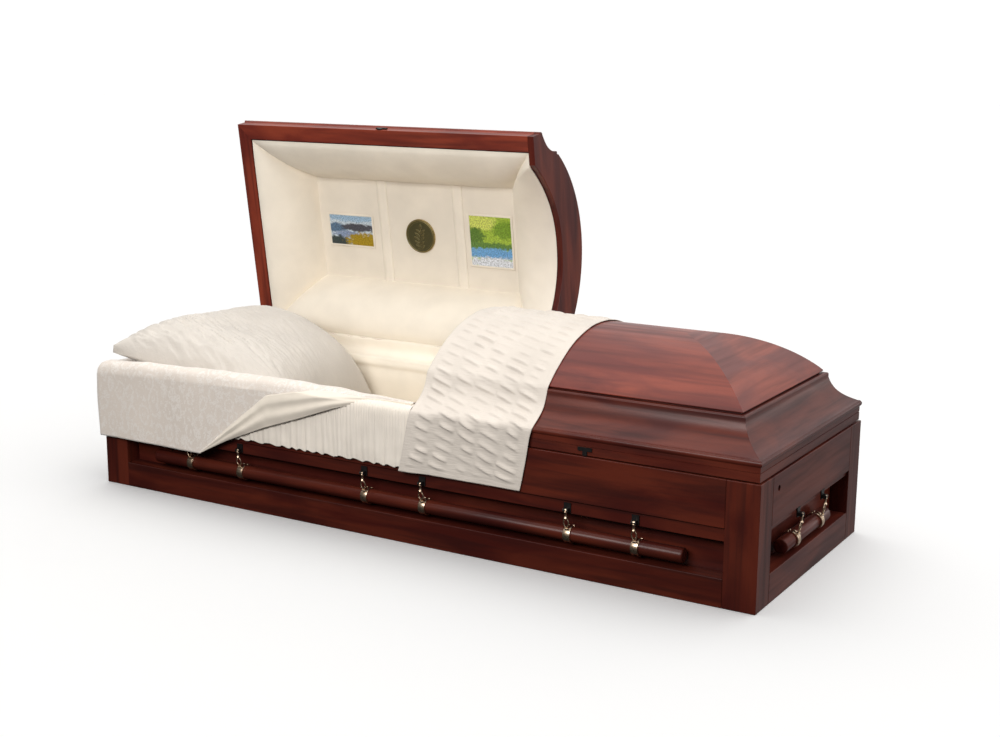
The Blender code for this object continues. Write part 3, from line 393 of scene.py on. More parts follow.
def nose_and_cove(steps):
    """Outer side of the moulding as (inwards, upwards) from the rail's lower edge to the lip."""
    points = [(RAIL_SETBACK + 0.0008, 0.0), (RAIL_SETBACK, 0.0008)]
    points += [(RAIL_SETBACK, RAIL_GROOVE - 0.0010), (RAIL_SETBACK + 0.0016, RAIL_GROOVE - 0.0004),
               (RAIL_SETBACK + 0.0016, RAIL_GROOVE + 0.0004), (RAIL_SETBACK, RAIL_GROOVE + 0.0010)]
    for step in range(steps):
        angle = math.radians(-90 + 180 * step / steps)
        inwards = NOSE_RADIUS - NOSE_RADIUS * math.cos(angle) * 0.95
        points.append((min(inwards, RAIL_SETBACK), NOSE_BOTTOM + NOSE_RADIUS * (1 + math.sin(angle))))
    for step in range(steps + 1):
        t = step / steps
        weights = ((1 - t) ** 3, 3 * t * (1 - t) ** 2, 3 * t * t * (1 - t), t ** 3)
        points.append(tuple(sum(w * p[axis] for w, p in zip(weights, COVE)) for axis in (0, 1)))
    for step in range(6):
        angle = math.pi / 2 * step / 5
        inwards = COVE[3][0] + LIP_ROUND * (1 - math.cos(angle))
        points.append((inwards, LIP_TOP - LIP_ROUND * (1 - math.sin(angle))))
    return points


def moulding_section(steps=18):
    points = nose_and_cove(steps)
    shelf = LIP_INNER + 0.006
    points += [
        (LIP_INNER, LIP_TOP),
        (shelf, LIP_TOP),
        (shelf, CROWN_BOTTOM - SMALL_GAP),
        (shelf + RIM_SHELF, CROWN_BOTTOM - SMALL_GAP),
        (COVE[3][0] + RIM_BACK_THICKNESS + 0.012, COVE[3][1] - 0.020),
        (COVE[2][0] + RIM_BACK_THICKNESS, COVE[2][1] - 0.018),
        (RAIL_SETBACK + RAIL_WIDTH, COVE[0][1] - 0.010),
        (RAIL_SETBACK + RAIL_WIDTH, 0.0),
    ]
    return points


def behind_arch(end):
    """Where the mouldings and the dome start, just behind the arched board."""
    sign = -1 if end == "head" else 1
    return LID_MEETING[end] + sign * (HEADER_THICKNESS + SMALL_GAP)


def moulding(end, side):
    """One length of moulding, cut square at the lids' meeting and mitred at the outer corners."""
    sign = -1 if end == "head" else 1
    outer, meeting = sign * HALF_LENGTH, behind_arch(end)
    first, last = [], []
    for inwards, upwards in moulding_section():
        z = LID_BASE + upwards
        cut = inwards + SMALL_GAP / 2
        if side == "end":
            x = outer - sign * inwards
            first.append((x, -HALF_WIDTH + cut, z))
            last.append((x, HALF_WIDTH - cut, z))
        else:
            y = (HALF_WIDTH - inwards) * (-1 if side == "front" else 1)
            first.append((meeting, y, z))
            last.append((outer - sign * cut, y, z))
    count = len(first)
    faces = [(i, (i + 1) % count, count + (i + 1) % count, count + i) for i in range(count)]
    faces += [tuple(range(count)), tuple(range(2 * count - 1, count - 1, -1))]
    name = f"{end}_lid_{side}_rail"
    return open_head_lid(mesh_of(name, first + last, faces, merge=0), end)


def crown_arc(offset, steps):
    """Half of the crown's arc as (inwards from the body's face, upwards), edge to ridge."""
    rise = CROWN_TOP - CROWN_BOTTOM - CROWN_LIP
    half = HALF_WIDTH - CROWN_EDGE
    radius = (half * half + rise * rise) / (2 * rise)
    points = []
    for step in range(steps + 1):
        across = (half - offset) * (1 - step / steps)
        drop = radius - math.sqrt(radius * radius - across * across)
        points.append((HALF_WIDTH - across, CROWN_TOP - offset - drop))
    return points


def crown_mesh(end, steps=28):
    """The domed shell: arched across the lid, with a hip at the outer end that meets it on two mitres."""
    sign = -1 if end == "head" else 1
    outer, meeting = sign * HALF_LENGTH, behind_arch(end)
    outside = crown_arc(0.0, steps)
    edge, low = outside[0]
    lower_lip = [(edge + 0.0012, CROWN_BOTTOM), (edge, CROWN_BOTTOM + 0.0012), (edge, low - 0.0008)]
    outside = lower_lip + outside[1:]
    inside = [(CROWN_EDGE + CROWN_THICKNESS, CROWN_BOTTOM)] + crown_arc(CROWN_THICKNESS, steps)
    verts, faces = [], []
    strips = []
    for profile in (outside, inside):
        rows = []
        for inwards, upwards in profile:
            z = LID_BASE + upwards
            y = HALF_WIDTH - inwards
            corner = outer - sign * inwards
            first = len(verts)
            verts += [(meeting, -y, z), (corner, -y, z), (corner, y, z), (meeting, y, z)]
            rows.append(first)
        for a, b in zip(rows, rows[1:]):
            faces += [(a + k, a + k + 1, b + k + 1, b + k) for k in range(3)]
        strips.append(rows)
    bottom_out, bottom_in = strips[0][0], strips[1][0]
    faces += [(bottom_out + k, bottom_out + k + 1, bottom_in + k + 1, bottom_in + k) for k in range(3)]
    for k in (0, 3):
        rim_out = [rows + k for rows in strips[0]]
        rim_in = [rows + k for rows in strips[1]]
        faces.append(tuple(rim_out + rim_in[::-1]))
    mesh = mesh_of(f"{end}_lid_dome", verts, faces)
    for face in mesh.polygons:
        # The hip's faces lean along the length, and its boards run across the lid.
        face.material_index = int(abs(face.normal.x) > 0.05 and abs(face.normal.x) < 0.999
                                  and abs(face.normal.y) < 0.02)
    return open_head_lid(mesh, end)


def arch_height(y):
    """Inner line of the arched board, above the lid's lower edge."""
    return ARCH_RISE * max(0.0, 1 - abs(y / ARCH_HALF_WIDTH) ** ARCH_POWER)


def header_mesh(end, steps=28):
    """Arched board: its outer line is the lid's own section, and its inner line a low arch."""
    start = LID_MEETING[end]
    finish = start + (-HEADER_THICKNESS if end == "head" else HEADER_THICKNESS)
    half = [(HALF_WIDTH - inwards, upwards) for inwards, upwards in nose_and_cove(14)]
    half.append((HALF_WIDTH - CROWN_EDGE, LIP_TOP))
    half += [(HALF_WIDTH - inwards, upwards) for inwards, upwards in crown_arc(0.0, steps)]
    outline = half + [(-y, z) for y, z in reversed(half[:-1])]
    for step in range(61):
        y = ARCH_HALF_WIDTH * (step / 30 - 1)
        outline.append((y, arch_height(y)))
    count = len(outline)
    verts = [(x, y, LID_BASE + z) for x in (start, finish) for y, z in outline]
    faces = [(i, (i + 1) % count, count + (i + 1) % count, count + i) for i in range(count)]
    faces += [tuple(range(count)), tuple(range(2 * count - 1, count - 1, -1))]
    mesh = mesh_of(f"{end}_lid_arch", verts, faces, merge=0)
    bm = bmesh.new()
    bm.from_mesh(mesh)
    rims = [e for e in bm.edges if len(e.link_faces) == 2 and e.calc_face_angle(0.0) > math.radians(60)]
    bmesh.ops.bevel(bm, geom=rims, offset=0.0012, segments=2, affect="EDGES", profile=0.5)
    bm.to_mesh(mesh)
    bm.free()
    return open_head_lid(mesh, end)


def tilted(along, end):
    """Grain direction of a board that is made closed and shown with the head lid open."""
    if end == "foot" or along == "X":
        return ALONG[along]
    upright = Matrix.Rotation(-HEAD_LID_TILT, 3, "X")
    return (Matrix.Rotation(math.pi / 2, 3, "Z") @ upright).to_euler()[:]


for end, shift in (("head", 1.4), ("foot", 5.2)):
    body = f"{end}_lid"
    for side, along in (("front", "X"), ("back", "X"), ("end", "Y")):
        # The head lid's rails are painted much lighter, for the light on the open lid; the foot lid's stay
        # near the body's stain.
        finish = stained_wood(f"{end} lid {side} rail", tilted(along, end), (shift, 0.3, 1.1),
                              tone_and_light=2.7 if end == "head" else 1.10,
                              lacquer=0.12, gloss=0.22)
        add_piece(f"{end}_lid_{side}_rail", moulding(end, side), [finish], body,
                  [f"{end}_lid_{side}_moulding"])
    # The domes are painted lighter, for the sheen of the light from above on the crown.
    finishes = [stained_wood(f"{end} lid dome {part}", grain_way, (shift + 1.6, 0.9, 2.1), tone_and_light=2.2,
                             lacquer=0.2, gloss=0.3, figure=0.7)
                for part, grain_way in (("sides", "X"), ("hip", tilted("Y", end)))]
    add_piece(f"{end}_lid_dome", crown_mesh(end), finishes, body, [f"{end}_lid_crown"],
              sharp=14)
    finish = stained_wood(f"{end} lid arch", tilted("Y", end), (shift, 2.3, 0.4), tone_and_light=1.5)
    add_piece(f"{end}_lid_arch", header_mesh(end), [finish], body, [f"{end}_lid_header"],
              sharp=20)


# Lid catches and the continuous hinge: blackened steel, screwed on. They keep their CAD shapes.

def painted_steel(name, colour, roughness):
    """Thin black paint over steel, with fine grain and broad patches a little lighter and rougher."""
    material, tree, shader = new_nodes(name)
    place = add_node(tree, "ShaderNodeTexCoord")
    fine = add_node(tree, "ShaderNodeTexNoise", Scale=900.0, Detail=3.0)
    broad = add_node(tree, "ShaderNodeTexNoise", Scale=60.0, Detail=3.0)
    for texture in (fine, broad):
        link(tree, place, "Object", texture, "Vector")
    mixed = add_node(tree, "ShaderNodeMix", data_type="RGBA", A=colour,
                     B=tuple(c * 2.2 for c in colour[:3]) + (1.0,), Factor=(broad, "Fac"))
    link(tree, mixed, "Result", shader, "Base Color")
    rough = add_node(tree, "ShaderNodeMapRange", To_Min=roughness - 0.1, To_Max=roughness + 0.1,
                     Value=(broad, "Fac"))
    link(tree, rough, "Result", shader, "Roughness")
    bump = add_node(tree, "ShaderNodeBump", Strength=0.2, Distance=0.0002, Height=(fine, "Fac"))
    link(tree, bump, "Normal", shader, "Normal")
    shader.inputs["Metallic"].default_value = 0.3
    return material


black_steel = painted_steel("black steel", (0.006, 0.005, 0.005, 1.0), 0.45)
dress(["head_lid_catch", "foot_lid_catch", "lid_hinge_strip"], black_steel)
dress([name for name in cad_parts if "_handle_ear_" in name], black_steel)


# Swing-bar handles: a round stained wooden bar held in cast arms of antique brass. Each arm hangs on
# the pin between its ear's cheeks: a knob, a waisted neck, a pierced fork and a clasp round the bar.

BAR_RADIUS = 0.0195
BAR_INSET = 0.022
BAR_HEIGHT = 0.107
PIN_HEIGHT = 0.176
PIN_OUTSET = 0.004
SIDE_BAR_HALF = 0.859
END_BAR_HALF = 0.163
SIDE_ARMS = (-0.717, -0.527, -0.087, 0.103, 0.543, 0.733)
END_ARMS = (-0.090, 0.090)

brass, tree, shader = new_nodes("antique brass")
place = add_node(tree, "ShaderNodeTexCoord")
tarnish = add_node(tree, "ShaderNodeTexNoise", Scale=220.0, Detail=4.0, Vector=(place, "Object"))
mask = add_node(tree, "ShaderNodeMapRange", interpolation_type="SMOOTHSTEP", From_Min=0.42, From_Max=0.66,
                Value=(tarnish, "Fac"))
hue = add_node(tree, "ShaderNodeMix", data_type="RGBA", A=(0.80, 0.62, 0.46, 1.0),
               B=(0.42, 0.29, 0.18, 1.0), Factor=(mask, "Result"))
link(tree, hue, "Result", shader, "Base Color")
rough = add_node(tree, "ShaderNodeMapRange", To_Min=0.22, To_Max=0.42, Value=(tarnish, "Fac"))
link(tree, rough, "Result", shader, "Roughness")
shader.inputs["Metallic"].default_value = 1.0


def turned(profile, sides=20):
    """A shape turned on the Z axis from (radius, z) pairs, closed at both ends."""
    verts, faces = [], []
    for radius, z in profile:
        for k in range(sides):
            angle = 2 * math.pi * k / sides
            verts.append((radius * math.cos(angle), radius * math.sin(angle), z))
    for row in range(len(profile) - 1):
        for k in range(sides):
            a, b = row * sides + k, row * sides + (k + 1) % sides
            faces.append((a, b, b + sides, a + sides))
    faces.append(tuple(range(sides - 1, -1, -1)))
    top = (len(profile) - 1) * sides
    faces.append(tuple(range(top, top + sides)))
    return verts, faces


def bent_strap(points, widths, thickness):
    """A flat cast strap along (y, z) points, with its own width at each point, as one closed shape."""
    verts, faces = [], []
    for i, (y, z) in enumerate(points):
        before = points[max(i - 1, 0)]
        after = points[min(i + 1, len(points) - 1)]
        along = Vector((after[0] - before[0], after[1] - before[1])).normalized()
        normal = Vector((-along.y, along.x)) * thickness / 2
        half = widths[i] / 2
        for side, out in ((-1, 1), (1, 1), (1, -1), (-1, -1)):
            verts.append((side * half, y + normal.x * out, z + normal.y * out))
    for i in range(len(points) - 1):
        for k in range(4):
            a, b = 4 * i + k, 4 * i + (k + 1) % 4
            faces.append((a, b, b + 4, a + 4))
    last = 4 * (len(points) - 1)
    faces += [(3, 2, 1, 0), (last, last + 1, last + 2, last + 3)]
    return verts, faces


def arm_mesh():
    """One cast arm, made with its pin along X at the origin and the front towards -Y."""
    drop = PIN_HEIGHT - BAR_HEIGHT
    bar = Vector((0.0, BAR_INSET + PIN_OUTSET, -drop))
    bm = bmesh.new()

    def join(shape, matrix=Matrix.Identity(4)):
        verts, faces = shape
        made = [bm.verts.new(matrix @ Vector(v)) for v in verts]
        for face in faces:
            bm.faces.new([made[i] for i in face])

    eye = turned([(0.0040, -0.0034), (0.0045, -0.0028), (0.0045, 0.0028), (0.0040, 0.0034)], 16)
    join(eye, Matrix.Rotation(math.pi / 2, 4, "Y"))
    down = Vector((0.0, 0.004, -1.0)).normalized()
    neck_turn = Vector((0, 0, 1)).rotation_difference(down).to_matrix().to_4x4()
    neck = turned([
        (0.0034, 0.0020), (0.0052, 0.0030), (0.0052, 0.0055), (0.0036, 0.0072), (0.0031, 0.0125),
        (0.0034, 0.0170), (0.0052, 0.0195), (0.0058, 0.0210), (0.0052, 0.0228), (0.0036, 0.0240),
    ])
    join(neck, neck_turn)
    clasp_radius = BAR_RADIUS + 0.0022
    for side in (-1, 1):
        strap = []
        for t in np.linspace(0.0, 1.0, 7):
            sway = side * (0.0022 + 0.0052 * math.sin(math.pi * min(t * 1.15, 1.0)) ** 0.8)
            strap.append((sway, 0.001 + 0.004 * t, -0.0225 - 0.0260 * t))
        for a, b in zip(strap, strap[1:]):
            start, end = Vector(a), Vector(b)
            aim = end - start
            turn = Vector((0, 0, 1)).rotation_difference(aim).to_matrix().to_4x4()
            rod = turned([(0.0018, -0.0004), (0.0019, aim.length + 0.0004)], 10)
            join(rod, Matrix.Translation(start) @ turn)
    collar = turned([(0.0062, -0.0016), (0.0070, -0.0010), (0.0070, 0.0010), (0.0062, 0.0016)], 16)
    join(collar, Matrix.Translation((0, 0.0055, -0.0500)) @ Matrix.Diagonal((1.15, 0.65, 1.0, 1.0)))
    for centre, width in ((-0.0072, 0.0055), (0.0072, 0.0055)):
        ring, sides = [], 36
        for step in range(sides + 1):
            angle = math.radians(100 + 340 * step / sides)
            ring.append((bar.y + clasp_radius * math.cos(angle), bar.z + clasp_radius * math.sin(angle)))
        shape = bent_strap(ring, [width] * len(ring), 0.0034)
        join(shape, Matrix.Translation((centre, 0, 0)))
    front = []
    for step in range(12):
        angle = math.radians(128 + 92 * step / 11)
        front.append((bar.y + (clasp_radius + 0.0006) * math.cos(angle),
                      bar.z + (clasp_radius + 0.0006) * math.sin(angle)))
    width = [0.0105, 0.0150, 0.0185] + [0.0200] * 6 + [0.0185, 0.0160, 0.0120]
    join(bent_strap(front, width, 0.0052))
    bmesh.ops.recalc_face_normals(bm, faces=bm.faces)
    rims = [e for e in bm.edges if e.is_manifold and e.calc_face_angle(0.0) > math.radians(55)]
    bmesh.ops.bevel(bm, geom=rims, offset=0.0007, segments=2, affect="EDGES", profile=0.5)
    mesh = bpy.data.meshes.new("cast_arm")
    bm.to_mesh(mesh)
    bm.free()
    return mesh


def row_tree(name, material):
    """Geometry nodes that put copies of one part at the points of a short mesh, and bake them."""
    tree = bpy.data.node_groups.new(name, "GeometryNodeTree")
    tree.interface.new_socket(name="Geometry", in_out="INPUT", socket_type="NodeSocketGeometry")
    tree.interface.new_socket(name="Part", in_out="INPUT", socket_type="NodeSocketObject")
    tree.interface.new_socket(name="Turn", in_out="INPUT", socket_type="NodeSocketFloat")
    tree.interface.new_socket(name="Geometry", in_out="OUTPUT", socket_type="NodeSocketGeometry")
    given = tree.nodes.new("NodeGroupInput")
    made = tree.nodes.new("NodeGroupOutput")
    part = add_node(tree, "GeometryNodeObjectInfo", Object=(given, "Part"))
    turn = add_node(tree, "ShaderNodeCombineXYZ", Z=(given, "Turn"))
    copies = add_node(tree, "GeometryNodeInstanceOnPoints", Points=(given, "Geometry"),
                      Instance=(part, "Geometry"), Rotation=(turn, "Vector"))
    solid = add_node(tree, "GeometryNodeRealizeInstances", Geometry=(copies, "Instances"))
    finish = add_node(tree, "GeometryNodeSetMaterial", Material=material, Geometry=(solid, "Geometry"))
    link(tree, finish, "Geometry", made, "Geometry")
    return tree


def row_of(name, tree, part_mesh, places, turn):
    """Copies of a part at each place, turned about Z, as one plain mesh."""
    part = bpy.data.objects.new(name + "_part", part_mesh)
    bpy.context.scene.collection.objects.link(part)
    points = bpy.data.meshes.new(name + "_places")
    points.from_pydata([tuple(p) for p in places], [], [])
    row = bpy.data.objects.new(name + "_row", points)
    bpy.context.scene.collection.objects.link(row)
    modifier = row.modifiers.new("row", "NODES")
    modifier.node_group = tree
    sockets = {item.name: item.identifier for item in tree.interface.items_tree if item.in_out == "INPUT"}
    modifier[sockets["Part"]] = part
    modifier[sockets["Turn"]] = turn
    bpy.context.view_layer.update()
    evaluated = row.evaluated_get(bpy.context.evaluated_depsgraph_get())
    mesh = bpy.data.meshes.new_from_object(evaluated)
    mesh.name = name
    bpy.data.objects.remove(row, do_unlink=True)
    bpy.data.objects.remove(part, do_unlink=True)
    mesh.materials.clear()
    return mesh


arms_row = row_tree("Arms along a bar", brass)
cast_arm = arm_mesh()
bar_finish = {
    "X": stained_wood("side bars", "X", (0.7, 0.1, 0.5), tone_and_light=0.85, lacquer=0.2),
    "Y": stained_wood("end bars", "Y", (0.2, 0.8, 0.3), tone_and_light=1.3, lacquer=0.2),
}
for side, face, turn, half, arms in (
    ("front", HALF_WIDTH, 0.0, SIDE_BAR_HALF, SIDE_ARMS),
    ("back", HALF_WIDTH, math.pi, SIDE_BAR_HALF, [-x for x in SIDE_ARMS]),
    ("foot", HALF_LENGTH, math.pi / 2, END_BAR_HALF, END_ARMS),
    ("head", HALF_LENGTH, -math.pi / 2, END_BAR_HALF, END_ARMS),
):
    place = Matrix.Rotation(turn, 4, "Z")
    rod = turned([
        (BAR_RADIUS - 0.0040, -half), (BAR_RADIUS - 0.0012, -half + 0.0012), (BAR_RADIUS, -half + 0.0040),
        (BAR_RADIUS, half - 0.0040), (BAR_RADIUS - 0.0012, half - 0.0012), (BAR_RADIUS - 0.0040, half),
    ], 40)
    mesh = mesh_of(f"{side}_bar", rod[0], rod[1], merge=0)
    lay = Matrix.Translation((0.0, BAR_INSET - face, BAR_HEIGHT)) @ Matrix.Rotation(math.pi / 2, 4, "Y")
    mesh.transform(place @ lay)
    finish = bar_finish["X" if side in ("front", "back") else "Y"]
    add_piece(f"{side}_bar", mesh, [finish], f"{side}_handle", [f"{side}_handle"], sharp=50)
    pins = [place @ Vector((along, -face - PIN_OUTSET, PIN_HEIGHT)) for along in arms]
    mesh = row_of(f"{side}_arms", arms_row, cast_arm, pins, turn)
    add_piece(f"{side}_arms", mesh, [brass], f"{side}_handle", (), sharp=40)


# Padded lining of the body: cream velvet over batting on the four walls, with a soft roll along the top
# edge that laps over the back board. The mattress below it is a thin quilted pad in crepe.

def woven_cloth_group():
    """Cloth: threads crossing at a given pitch, slubs, soft blotches, and crepe crinkle."""
    group, given, made = new_group(
        "Woven cloth",
        [
            ("Vector", "NodeSocketVector", None),
            ("Color", "NodeSocketColor", (0.8, 0.7, 0.6, 1.0)),
            ("Threads", "NodeSocketFloat", 1400.0),
            ("Crinkle", "NodeSocketFloat", 0.3),
            ("Crinkle Scale", "NodeSocketVector", (120.0, 120.0, 120.0)),
        ],
        [("Color", "NodeSocketColor"), ("Height", "NodeSocketFloat"), ("Roughness", "NodeSocketFloat")],
    )
    split = add_node(group, "ShaderNodeSeparateXYZ", Vector=(given, "Vector"))
    cross = add_node(group, "ShaderNodeMath", (split, "Y"), (split, "Z"), operation="ADD")
    waves = []
    for source, output in ((split, "X"), (cross, "Value")):
        pitch = add_node(group, "ShaderNodeMath", (source, output), (given, "Threads"), operation="MULTIPLY")
        wave = add_node(group, "ShaderNodeMath", (pitch, "Value"), operation="SINE")
        waves.append(wave)
    weave = add_node(group, "ShaderNodeMath", operation="MULTIPLY")
    link(group, waves[0], "Value", weave, 0)
    link(group, waves[1], "Value", weave, 1)
    stretch = add_node(group, "ShaderNodeVectorMath", (given, "Vector"), (given, "Crinkle Scale"),
                       operation="MULTIPLY")
    crinkle = add_node(group, "ShaderNodeTexNoise", Scale=1.0, Detail=5.0, Distortion=0.6,
                       Vector=(stretch, "Vector"))
    blotch = add_node(group, "ShaderNodeTexNoise", Scale=9.0, Detail=3.0, Vector=(given, "Vector"))
    amount = add_node(group, "ShaderNodeMath", (crinkle, "Fac"), (given, "Crinkle"), operation="MULTIPLY")
    fine = add_node(group, "ShaderNodeMath", (weave, "Value"), 0.10, operation="MULTIPLY")
    height = add_node(group, "ShaderNodeMath", (amount, "Value"), (fine, "Value"), operation="ADD")
    link(group, height, "Value", made, "Height")
    light = add_node(group, "ShaderNodeMapRange", From_Min=0.25, From_Max=0.75, To_Min=0.93, To_Max=1.04,
                     Value=(blotch, "Fac"))
    thread = add_node(group, "ShaderNodeMath", (weave, "Value"), 0.025, (light, "Result"),
                      operation="MULTIPLY_ADD")
    shaded = add_node(group, "ShaderNodeVectorMath", (given, "Color"), operation="SCALE",
                      Scale=(thread, "Value"))
    link(group, shaded, "Vector", made, "Color")
    rough = add_node(group, "ShaderNodeMapRange", To_Min=0.70, To_Max=0.95, Value=(crinkle, "Fac"))
    link(group, rough, "Result", made, "Roughness")
    return group


woven_cloth = woven_cloth_group()


def cloth(name, colour, threads=1400.0, crinkle=0.3, crinkle_scale=(120.0, 120.0, 120.0), sheen=0.25,
          bump=0.5, depth=0.0012, uv=False):
    """A cloth's material, on Object coordinates or on the piece's own flat pattern in metres."""
    material, tree, shader = new_nodes(name)
    place = add_node(tree, "ShaderNodeTexCoord")
    weave = add_node(tree, "ShaderNodeGroup", node_tree=woven_cloth,
                     Vector=(place, "UV" if uv else "Object"), Color=(*colour, 1.0), Threads=threads,
                     Crinkle=crinkle, Crinkle_Scale=crinkle_scale)
    relief = add_node(tree, "ShaderNodeBump", Strength=bump, Distance=depth)
    link(tree, weave, "Color", shader, "Base Color")
    link(tree, weave, "Roughness", shader, "Roughness")
    link(tree, weave, "Height", relief, "Height")
    link(tree, relief, "Normal", shader, "Normal")
    shader.inputs["Specular IOR Level"].default_value = 0.2
    shader.inputs["Sheen Weight"].default_value = sheen
    shader.inputs["Sheen Roughness"].default_value = 0.45
    return material


def wavy(*at, scale=1.0, seed=0.0):
    """Smooth noise from -1 to 1 at a point."""
    point = Vector((*at, 0.0, 0.0)[:3]) * scale
    return noise.noise(point + Vector((seed, seed * 0.7, seed * 1.3)))


def grid_mesh(name, rows, closed=False):
    """A quad mesh from rows of points, with a flat pattern in metres as its UV map."""
    count, width = len(rows), len(rows[0])
    points = np.array(rows, float)
    across = np.zeros((count, width))
    down = np.zeros((count, width))
    across[:, 1:] = np.cumsum(np.linalg.norm(np.diff(points, axis=1), axis=2).mean(0))[None, :]
    down[1:, :] = np.cumsum(np.linalg.norm(np.diff(points, axis=0), axis=2).mean(1))[:, None]
    columns = width if closed else width - 1
    faces = []
    for r in range(count - 1):
        for c in range(columns):
            d = (c + 1) % width
            faces.append((r * width + c, r * width + d, (r + 1) * width + d, (r + 1) * width + c))
    mesh = bpy.data.meshes.new(name)
    mesh.from_pydata(points.reshape(-1, 3).tolist(), [], faces)
    pattern = mesh.uv_layers.new(name="pattern")
    corners = np.empty(len(mesh.loops), int)
    mesh.loops.foreach_get("vertex_index", corners)
    flat = np.stack([across.reshape(-1)[corners], down.reshape(-1)[corners]], axis=1)
    pattern.data.foreach_set("uv", flat.reshape(-1))
    return mesh


def thicken(mesh, thickness, offset=-1.0, merge=0.0):
    """The mesh as a closed cloth of a real thickness."""
    if merge:
        bm = bmesh.new()
        bm.from_mesh(mesh)
        bmesh.ops.remove_doubles(bm, verts=bm.verts, dist=merge)
        bm.to_mesh(mesh)
        bm.free()
    holder = bpy.data.objects.new(mesh.name, mesh)
    bpy.context.scene.collection.objects.link(holder)
    wall = holder.modifiers.new("cloth thickness", "SOLIDIFY")
    wall.thickness = thickness
    wall.offset = offset
    wall.use_even_offset = False
    bpy.context.view_layer.update()
    evaluated = holder.evaluated_get(bpy.context.evaluated_depsgraph_get())
    made = bpy.data.meshes.new_from_object(evaluated)
    made.name = mesh.name
    bpy.data.objects.remove(holder, do_unlink=True)
    return made


LINING_OUTER = (0.9915, 0.3110)
MATTRESS_HALF = (0.9735, 0.2930)
MATTRESS_UNDERSIDE = 0.0192
MATTRESS_TOP = 0.1686

velvet = cloth("cream velvet", (0.86, 0.78, 0.655), threads=2600.0, crinkle=0.25,
               crinkle_scale=(35.0, 35.0, 35.0), sheen=0.35, bump=0.35)


def rounded_path(half_x, half_y, radius, step):
    """Closed path round a rectangle from the front left, as (x, y, outward x, outward y, distance)."""
    path, distance = [], 0.0
    corners = [(-1, -1, math.pi), (1, -1, 1.5 * math.pi), (1, 1, 0.0), (-1, 1, 0.5 * math.pi)]
    for number, (sx, sy, start) in enumerate(corners):
        centre = Vector((sx * (half_x - radius), sy * (half_y - radius)))
        for k in range(7):
            angle = start + math.pi / 2 * k / 6
            out = Vector((math.cos(angle), math.sin(angle)))
            path.append((*(centre + out * radius), out.x, out.y))
        along = 2 * ((half_x if sy * sx > 0 else half_y) - radius)
        turn = start + math.pi / 2
        out = Vector((math.cos(turn), math.sin(turn)))
        forward = Vector((-out.y, out.x))
        last = centre + out * radius
        steps = max(int(along / step), 1)
        for k in range(1, steps):
            point = last + forward * along * k / steps
            path.append((point.x, point.y, out.x, out.y))
    return path


rows = []
section = [(0.000, 0.020), (0.012, 0.060), (0.013, 0.120), (0.014, 0.170), (0.018, 0.200), (0.022, 0.225),
           (0.0245, 0.250), (0.0245, 0.270), (0.022, 0.288), (0.017, 0.303), (0.020, 0.308), (0.020, 0.316),
           (0.016, 0.3235), (0.008, 0.3285), (-0.002, 0.3285), (-0.009, 0.3245), (-0.0125, 0.3212)]
path = rounded_path(*LINING_OUTER, 0.016, 0.012)
for inwards, z in section:
    row = []
    for x, y, out_x, out_y in path:
        pull = wavy(x, y, scale=9.0, seed=3.1) * 0.0030 + wavy(x, y, z * 0.4, scale=30.0, seed=1.7) * 0.0012
        depth = inwards + (pull if 0.17 < z < 0.32 else 0.0)
        row.append((x - out_x * depth, y - out_y * depth, z))
    rows.append(row)
mesh = thicken(grid_mesh("body_walls", rows, closed=True), 0.002, offset=1.0)
lining = add_piece("body_walls", mesh, [velvet], "casket_body", ["body_lining"], sharp=0)
lining.modifiers.new("soft", "SUBSURF").levels = 1
lining.modifiers["soft"].render_levels = 1
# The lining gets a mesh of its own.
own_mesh(lining)

crepe = cloth("mattress crepe", (0.76, 0.69, 0.58), threads=1500.0, crinkle=0.8,
              crinkle_scale=(60.0, 160.0, 60.0), sheen=0.2, bump=0.6)
rows = []
for b in np.linspace(-1, 1, 60):
    row = []
    for a in np.linspace(-1, 1, 170):
        edge = min(1 - abs(a) ** 24, 1 - abs(b) ** 10)
        lift = MATTRESS_TOP - 0.030 + 0.030 * max(edge, 0.0) ** 0.5
        soft = wavy(a * 2.0, b * 0.7, scale=2.2, seed=5.0) * 0.0025 * edge
        row.append((a * MATTRESS_HALF[0], b * MATTRESS_HALF[1], lift + soft))
    rows.append(row)
mesh = grid_mesh("mattress_pad", rows)
bm = bmesh.new()
bm.from_mesh(mesh)
rim = [e for e in bm.edges if e.is_boundary]
down = bmesh.ops.extrude_edge_only(bm, edges=rim)["geom"]
low = [v for v in down if isinstance(v, bmesh.types.BMVert)]
for vert in low:
    vert.co.z = MATTRESS_UNDERSIDE
bmesh.ops.edgeloop_fill(bm, edges=[e for e in bm.edges if e.is_boundary])
bmesh.ops.recalc_face_normals(bm, faces=bm.faces)
bm.to_mesh(mesh)
bm.free()
pad = add_piece("mattress_pad", mesh, [crepe], "casket_body", ["mattress"], sharp=50)


# Pillow: a large stuffed pad in crinkled crepe that leans on the head end, its tip over the front edge.
# Two crepe faces are sewn together round a narrow edge with piping.

PILLOW_CORNERS = {
    (-1, -1): Vector((-1.030, -0.352, 0.415)),
    (-1, 1): Vector((-0.985, 0.268, 0.378)),
    (1, -1): Vector((-0.480, -0.255, 0.265)),
    (1, 1): Vector((-0.515, 0.262, 0.222)),
}
PILLOW_CROWN = 0.158
PILLOW_UNDER = 0.050
PILLOW_STEPS = 170


def pillow_middle(a, b):
    """The pillow's seam plane: four corners, its sides drawn in a little between them."""
    pinch = 1 - 0.05 * (1 - abs(a * b))
    centre = Vector((0.0, 0.0, 0.0))
    for (sign_a, sign_b), corner in PILLOW_CORNERS.items():
        centre += corner * (1 + sign_a * a * pinch) * (1 + sign_b * b * pinch) / 4
    return centre


